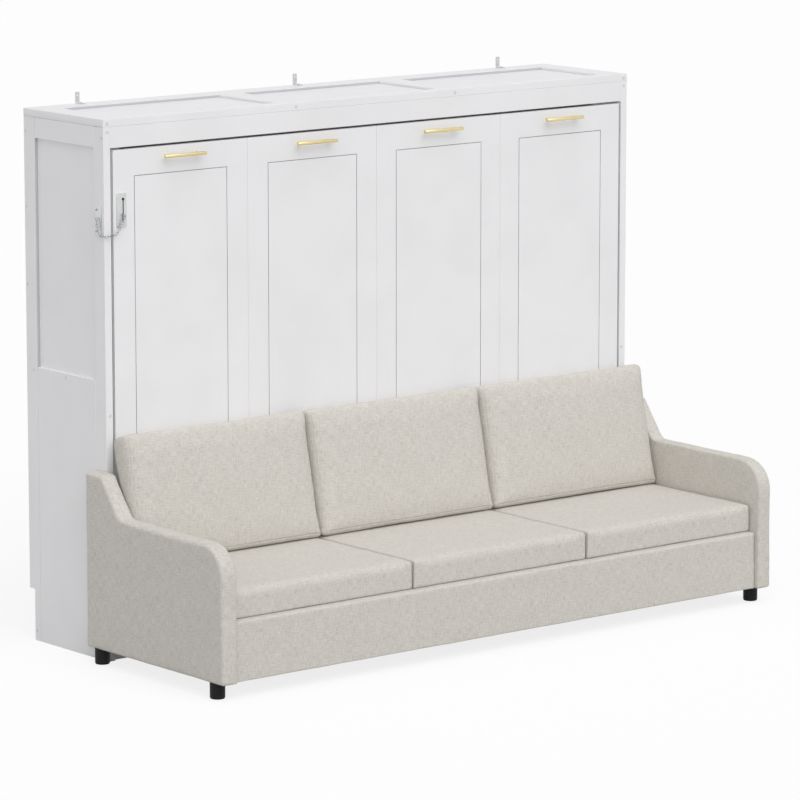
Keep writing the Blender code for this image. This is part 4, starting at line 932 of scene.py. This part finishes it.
def chain_route():
    """Places along the safety chain, one link apart, from its anchor on the side to its knob."""
    plate_skin, clear, knob_rise, start_back = 0.0003, 0.0095, 0.038, 0.030
    sag, bend, hang, lead, steps = 0.062, 0.016, 0.0046, 0.0023, 24
    low_share = 0.6
    low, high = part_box("chain_slide_plate")
    face, knob_z = high.y + plate_skin, low.z + knob_rise
    out_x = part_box("side_front_stile_left")[0].x - clear
    out_y = face - clear
    sag_z, start_y = knob_z - sag, face + start_back
    stops = [
        (out_x, start_y, knob_z - hang),
        (out_x, start_y - bend / 4, knob_z - sag / 2),
        (out_x, start_y - bend, sag_z + bend / 4),
        (out_x + bend / 4, out_y + bend / 2, sag_z),
        (out_x + bend, out_y, sag_z),
        ((out_x + SLOT_X) / 2 + bend / 2, out_y, sag_z + bend / 4),
        (SLOT_X - bend, out_y, knob_z - sag * low_share),
        (SLOT_X - lead, out_y, knob_z - sag / 4),
        (SLOT_X, out_y, knob_z),
    ]
    stops = [Vector(stop) for stop in stops]
    padded = [2 * stops[0] - stops[1], *stops, 2 * stops[-1] - stops[-2]]
    dense = []
    for index in range(1, len(padded) - 2):
        p0, p1, p2, p3 = padded[index - 1 : index + 3]
        for step in range(steps):
            t = step / steps
            even = (p2 - p0) * t + (2 * p0 - 5 * p1 + 4 * p2 - p3) * t * t
            dense.append((2 * p1 + even + (3 * p1 - p0 - 3 * p2 + p3) * t**3) / 2)
    dense.append(stops[-1])
    pitch = LINK_STRAIGHT + 2 * LINK_BEND - 2 * WIRE_RADIUS + LINK_PLAY
    places = [dense[-1]]
    for here in reversed(dense):
        gap = (here - places[-1]).length
        if gap >= pitch:
            places.append(places[-1] + (here - places[-1]) * pitch / gap)
    return places[::-1], face


def link(build, centre, along, flat):
    """One oval link of round wire, which lies in the plane of along and flat."""
    steps, sides = 24, 10
    along = along.normalized()
    flat = (flat - along * flat.dot(along)).normalized()
    out = along.cross(flat)
    rings = []
    for count in range(steps):
        turn = 2 * math.pi * (count + 0.5) / steps
        ahead, aside = math.cos(turn), math.sin(turn)
        shift = math.copysign(LINK_STRAIGHT / 2, ahead)
        middle = centre + along * (LINK_BEND * ahead + shift) + flat * LINK_BEND * aside
        radial = along * ahead + flat * aside
        ring = []
        for step in range(sides):
            angle = 2 * math.pi * step / sides
            away = radial * math.cos(angle) + out * math.sin(angle)
            ring.append(build.verts.new(middle + WIRE_RADIUS * away))
        rings.append(ring)
    for first, second in zip(rings, rings[1:] + rings[:1]):
        for step in range(sides):
            after = (step + 1) % sides
            build.faces.new((first[step], first[after], second[after], second[step]))


def make_chain():
    """The chain's links, each a quarter turn from the last, and its knob in the slot."""
    dome = [(0, 0), (0.0036, 0), (0.0046, 0.0009), (0.0046, 0.0026)]
    dome += [(0.0038, 0.0036), (0.002, 0.0041), (0, 0.0042)]
    dome_back, shank_radius, foot_radius, foot_t = 0.002, 0.0016, 0.0026, 0.0006
    foot_chamfer, shank_start, skin = 0.0002, 0.0021, 0.0006
    places, face = chain_route()
    outward = Vector((-1, -1, 0)).normalized()
    build = bmesh.new()
    for index, (here, there) in enumerate(zip(places, places[1:])):
        along = there - here
        flat = outward if index % 2 else outward.cross(along)
        link(build, (here + there) / 2, along, flat)
    head = places[-1]
    lathe(build, dome, head + Vector((0, dome_back, 0)), (0, -1, 0), sides=28)
    reach = face - skin - head.y
    shank = [(0, shank_start), (shank_radius, shank_start)]
    shank += [(shank_radius, reach - foot_t - foot_chamfer), (foot_radius, reach - foot_t)]
    shank += [(foot_radius, reach), (0, reach)]
    lathe(build, shank, head, (0, 1, 0), sides=20)
    name, look = "safety_chain", looks["chrome"]
    piece(f"{name}_links", build, look, name, [name], smooth=60)


def make_leg_feet():
    """Rubber feet round the lower ends of the bed's drop legs."""
    bar_x, half_t, wrap, sole, rise = 1.0805, 0.003, 0.0008, 0.0012, 0.016
    sole_radius, top_radius = 0.004, 0.002
    for side, suffix in ((-1, "left"), (1, "right")):
        low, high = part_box(f"support_leg_{suffix}")
        near, far = low.y - wrap, high.y + wrap
        bottom, top = low.z - sole, low.z + rise
        corners = [(near, bottom, sole_radius), (far, bottom, sole_radius)]
        corners += [(far, top, top_radius), (near, top, top_radius)]
        stations = [side * (bar_x + shift) for shift in (-half_t, half_t)]
        body = f"support_leg_{suffix}"
        outline = rounded(corners, per_corner=4)
        extruded(f"leg_foot_{suffix}", outline, stations, X_AXIS, rubber, body)


# Camera and room


def make_camera():
    """The camera of the photo, found from the cabinet's straight edges."""
    data = bpy.data.cameras.new("camera")
    data.sensor_width, data.lens, data.clip_end = 36, 212.94, 500
    camera = bpy.data.objects.new("camera", data)
    camera.location = (-9.789, -12.045, 3.465)
    camera.rotation_euler = (math.radians(80.09), 0, math.radians(-39.10))
    scene.collection.objects.link(camera)
    scene.camera = camera


def seen_directly(tree):
    """1 for rays from the camera and for mirrored or refracted ones, else 0."""
    path = add(tree, "LightPath").outputs
    seen = calc(tree, "MAXIMUM", path["Is Camera Ray"], path["Is Glossy Ray"])
    return calc(tree, "MAXIMUM", seen, path["Is Transmission Ray"])


def make_floor():
    """A floor that shows white with the object's shadow, but sends less light back up."""
    reach, sink, bounce, white_share = 80, 0.0004, 0.60, 0.82
    corners = ((-reach, -reach), (reach, -reach), (reach, reach), (-reach, reach))
    build = bmesh.new()
    build.faces.new([build.verts.new((x, y, -sink)) for x, y in corners])
    mesh = bpy.data.meshes.new("floor")
    build.to_mesh(mesh)
    build.free()
    floor = bpy.data.objects.new("floor", mesh)
    scene.collection.objects.link(floor)
    made = bpy.data.materials.new("pale_floor")
    made.use_nodes = True
    tree = made.node_tree
    tree.nodes.clear()
    seen = seen_directly(tree)
    paint = {0: seen, 6: (bounce, bounce, bounce, 1), 7: (1, 1, 1, 1)}
    colour = add(tree, "Mix", paint, data_type="RGBA").outputs[2]
    lit = add(tree, "BsdfDiffuse", {"Color": colour})
    white = add(tree, "Emission", {"Color": (1, 1, 1, 1), "Strength": 1.0})
    share = calc(tree, "MULTIPLY", seen, white_share)
    mix = add(tree, "MixShader", {0: share, 1: lit.outputs[0], 2: white.outputs[0]})
    tree.links.new(mix.outputs[0], add(tree, "OutputMaterial").inputs[0])
    mesh.materials.append(made)


def make_light():
    """A white world that lights softly, and two broad lamps from (direction, strength, angle)."""
    world_strength = 0.48
    lamps = (((-0.12, -0.58, 0.80), 1.57, 60), ((-0.68, -0.70, 0.20), 0.31, 60))
    world = bpy.data.worlds.new("studio")
    scene.world = world
    world.use_nodes = True
    tree = world.node_tree
    tree.nodes.clear()
    soft = add(tree, "Background", {"Color": (1, 1, 1, 1), "Strength": world_strength})
    white = add(tree, "Background", {"Color": (1, 1, 1, 1), "Strength": 1.0})
    mix = add(tree, "MixShader", {0: seen_directly(tree), 1: soft.outputs[0], 2: white.outputs[0]})
    tree.links.new(mix.outputs[0], add(tree, "OutputWorld").inputs[0])
    for number, (toward, strength, angle) in enumerate(lamps):
        data = bpy.data.lights.new(f"lamp_{number}", "SUN")
        data.energy, data.angle = strength, math.radians(angle)
        lamp = bpy.data.objects.new(data.name, data)
        lamp.rotation_euler = Vector(toward).to_track_quat("Z", "Y").to_euler()
        scene.collection.objects.link(lamp)
    scene.view_settings.view_transform = "Standard"


make_camera()
make_floor()
make_light()
make_back_cushions()
make_seat_cushions()
make_base_rail()
make_arms()
make_handles()
make_screw_caps()
make_cabinet_screws()
make_bed_screws()
make_hinge_bolts()
make_gap_shade_felt()
make_edge_bands()
make_slot_shade_strip()
make_sofa_legs()
make_chain()
make_leg_feet()
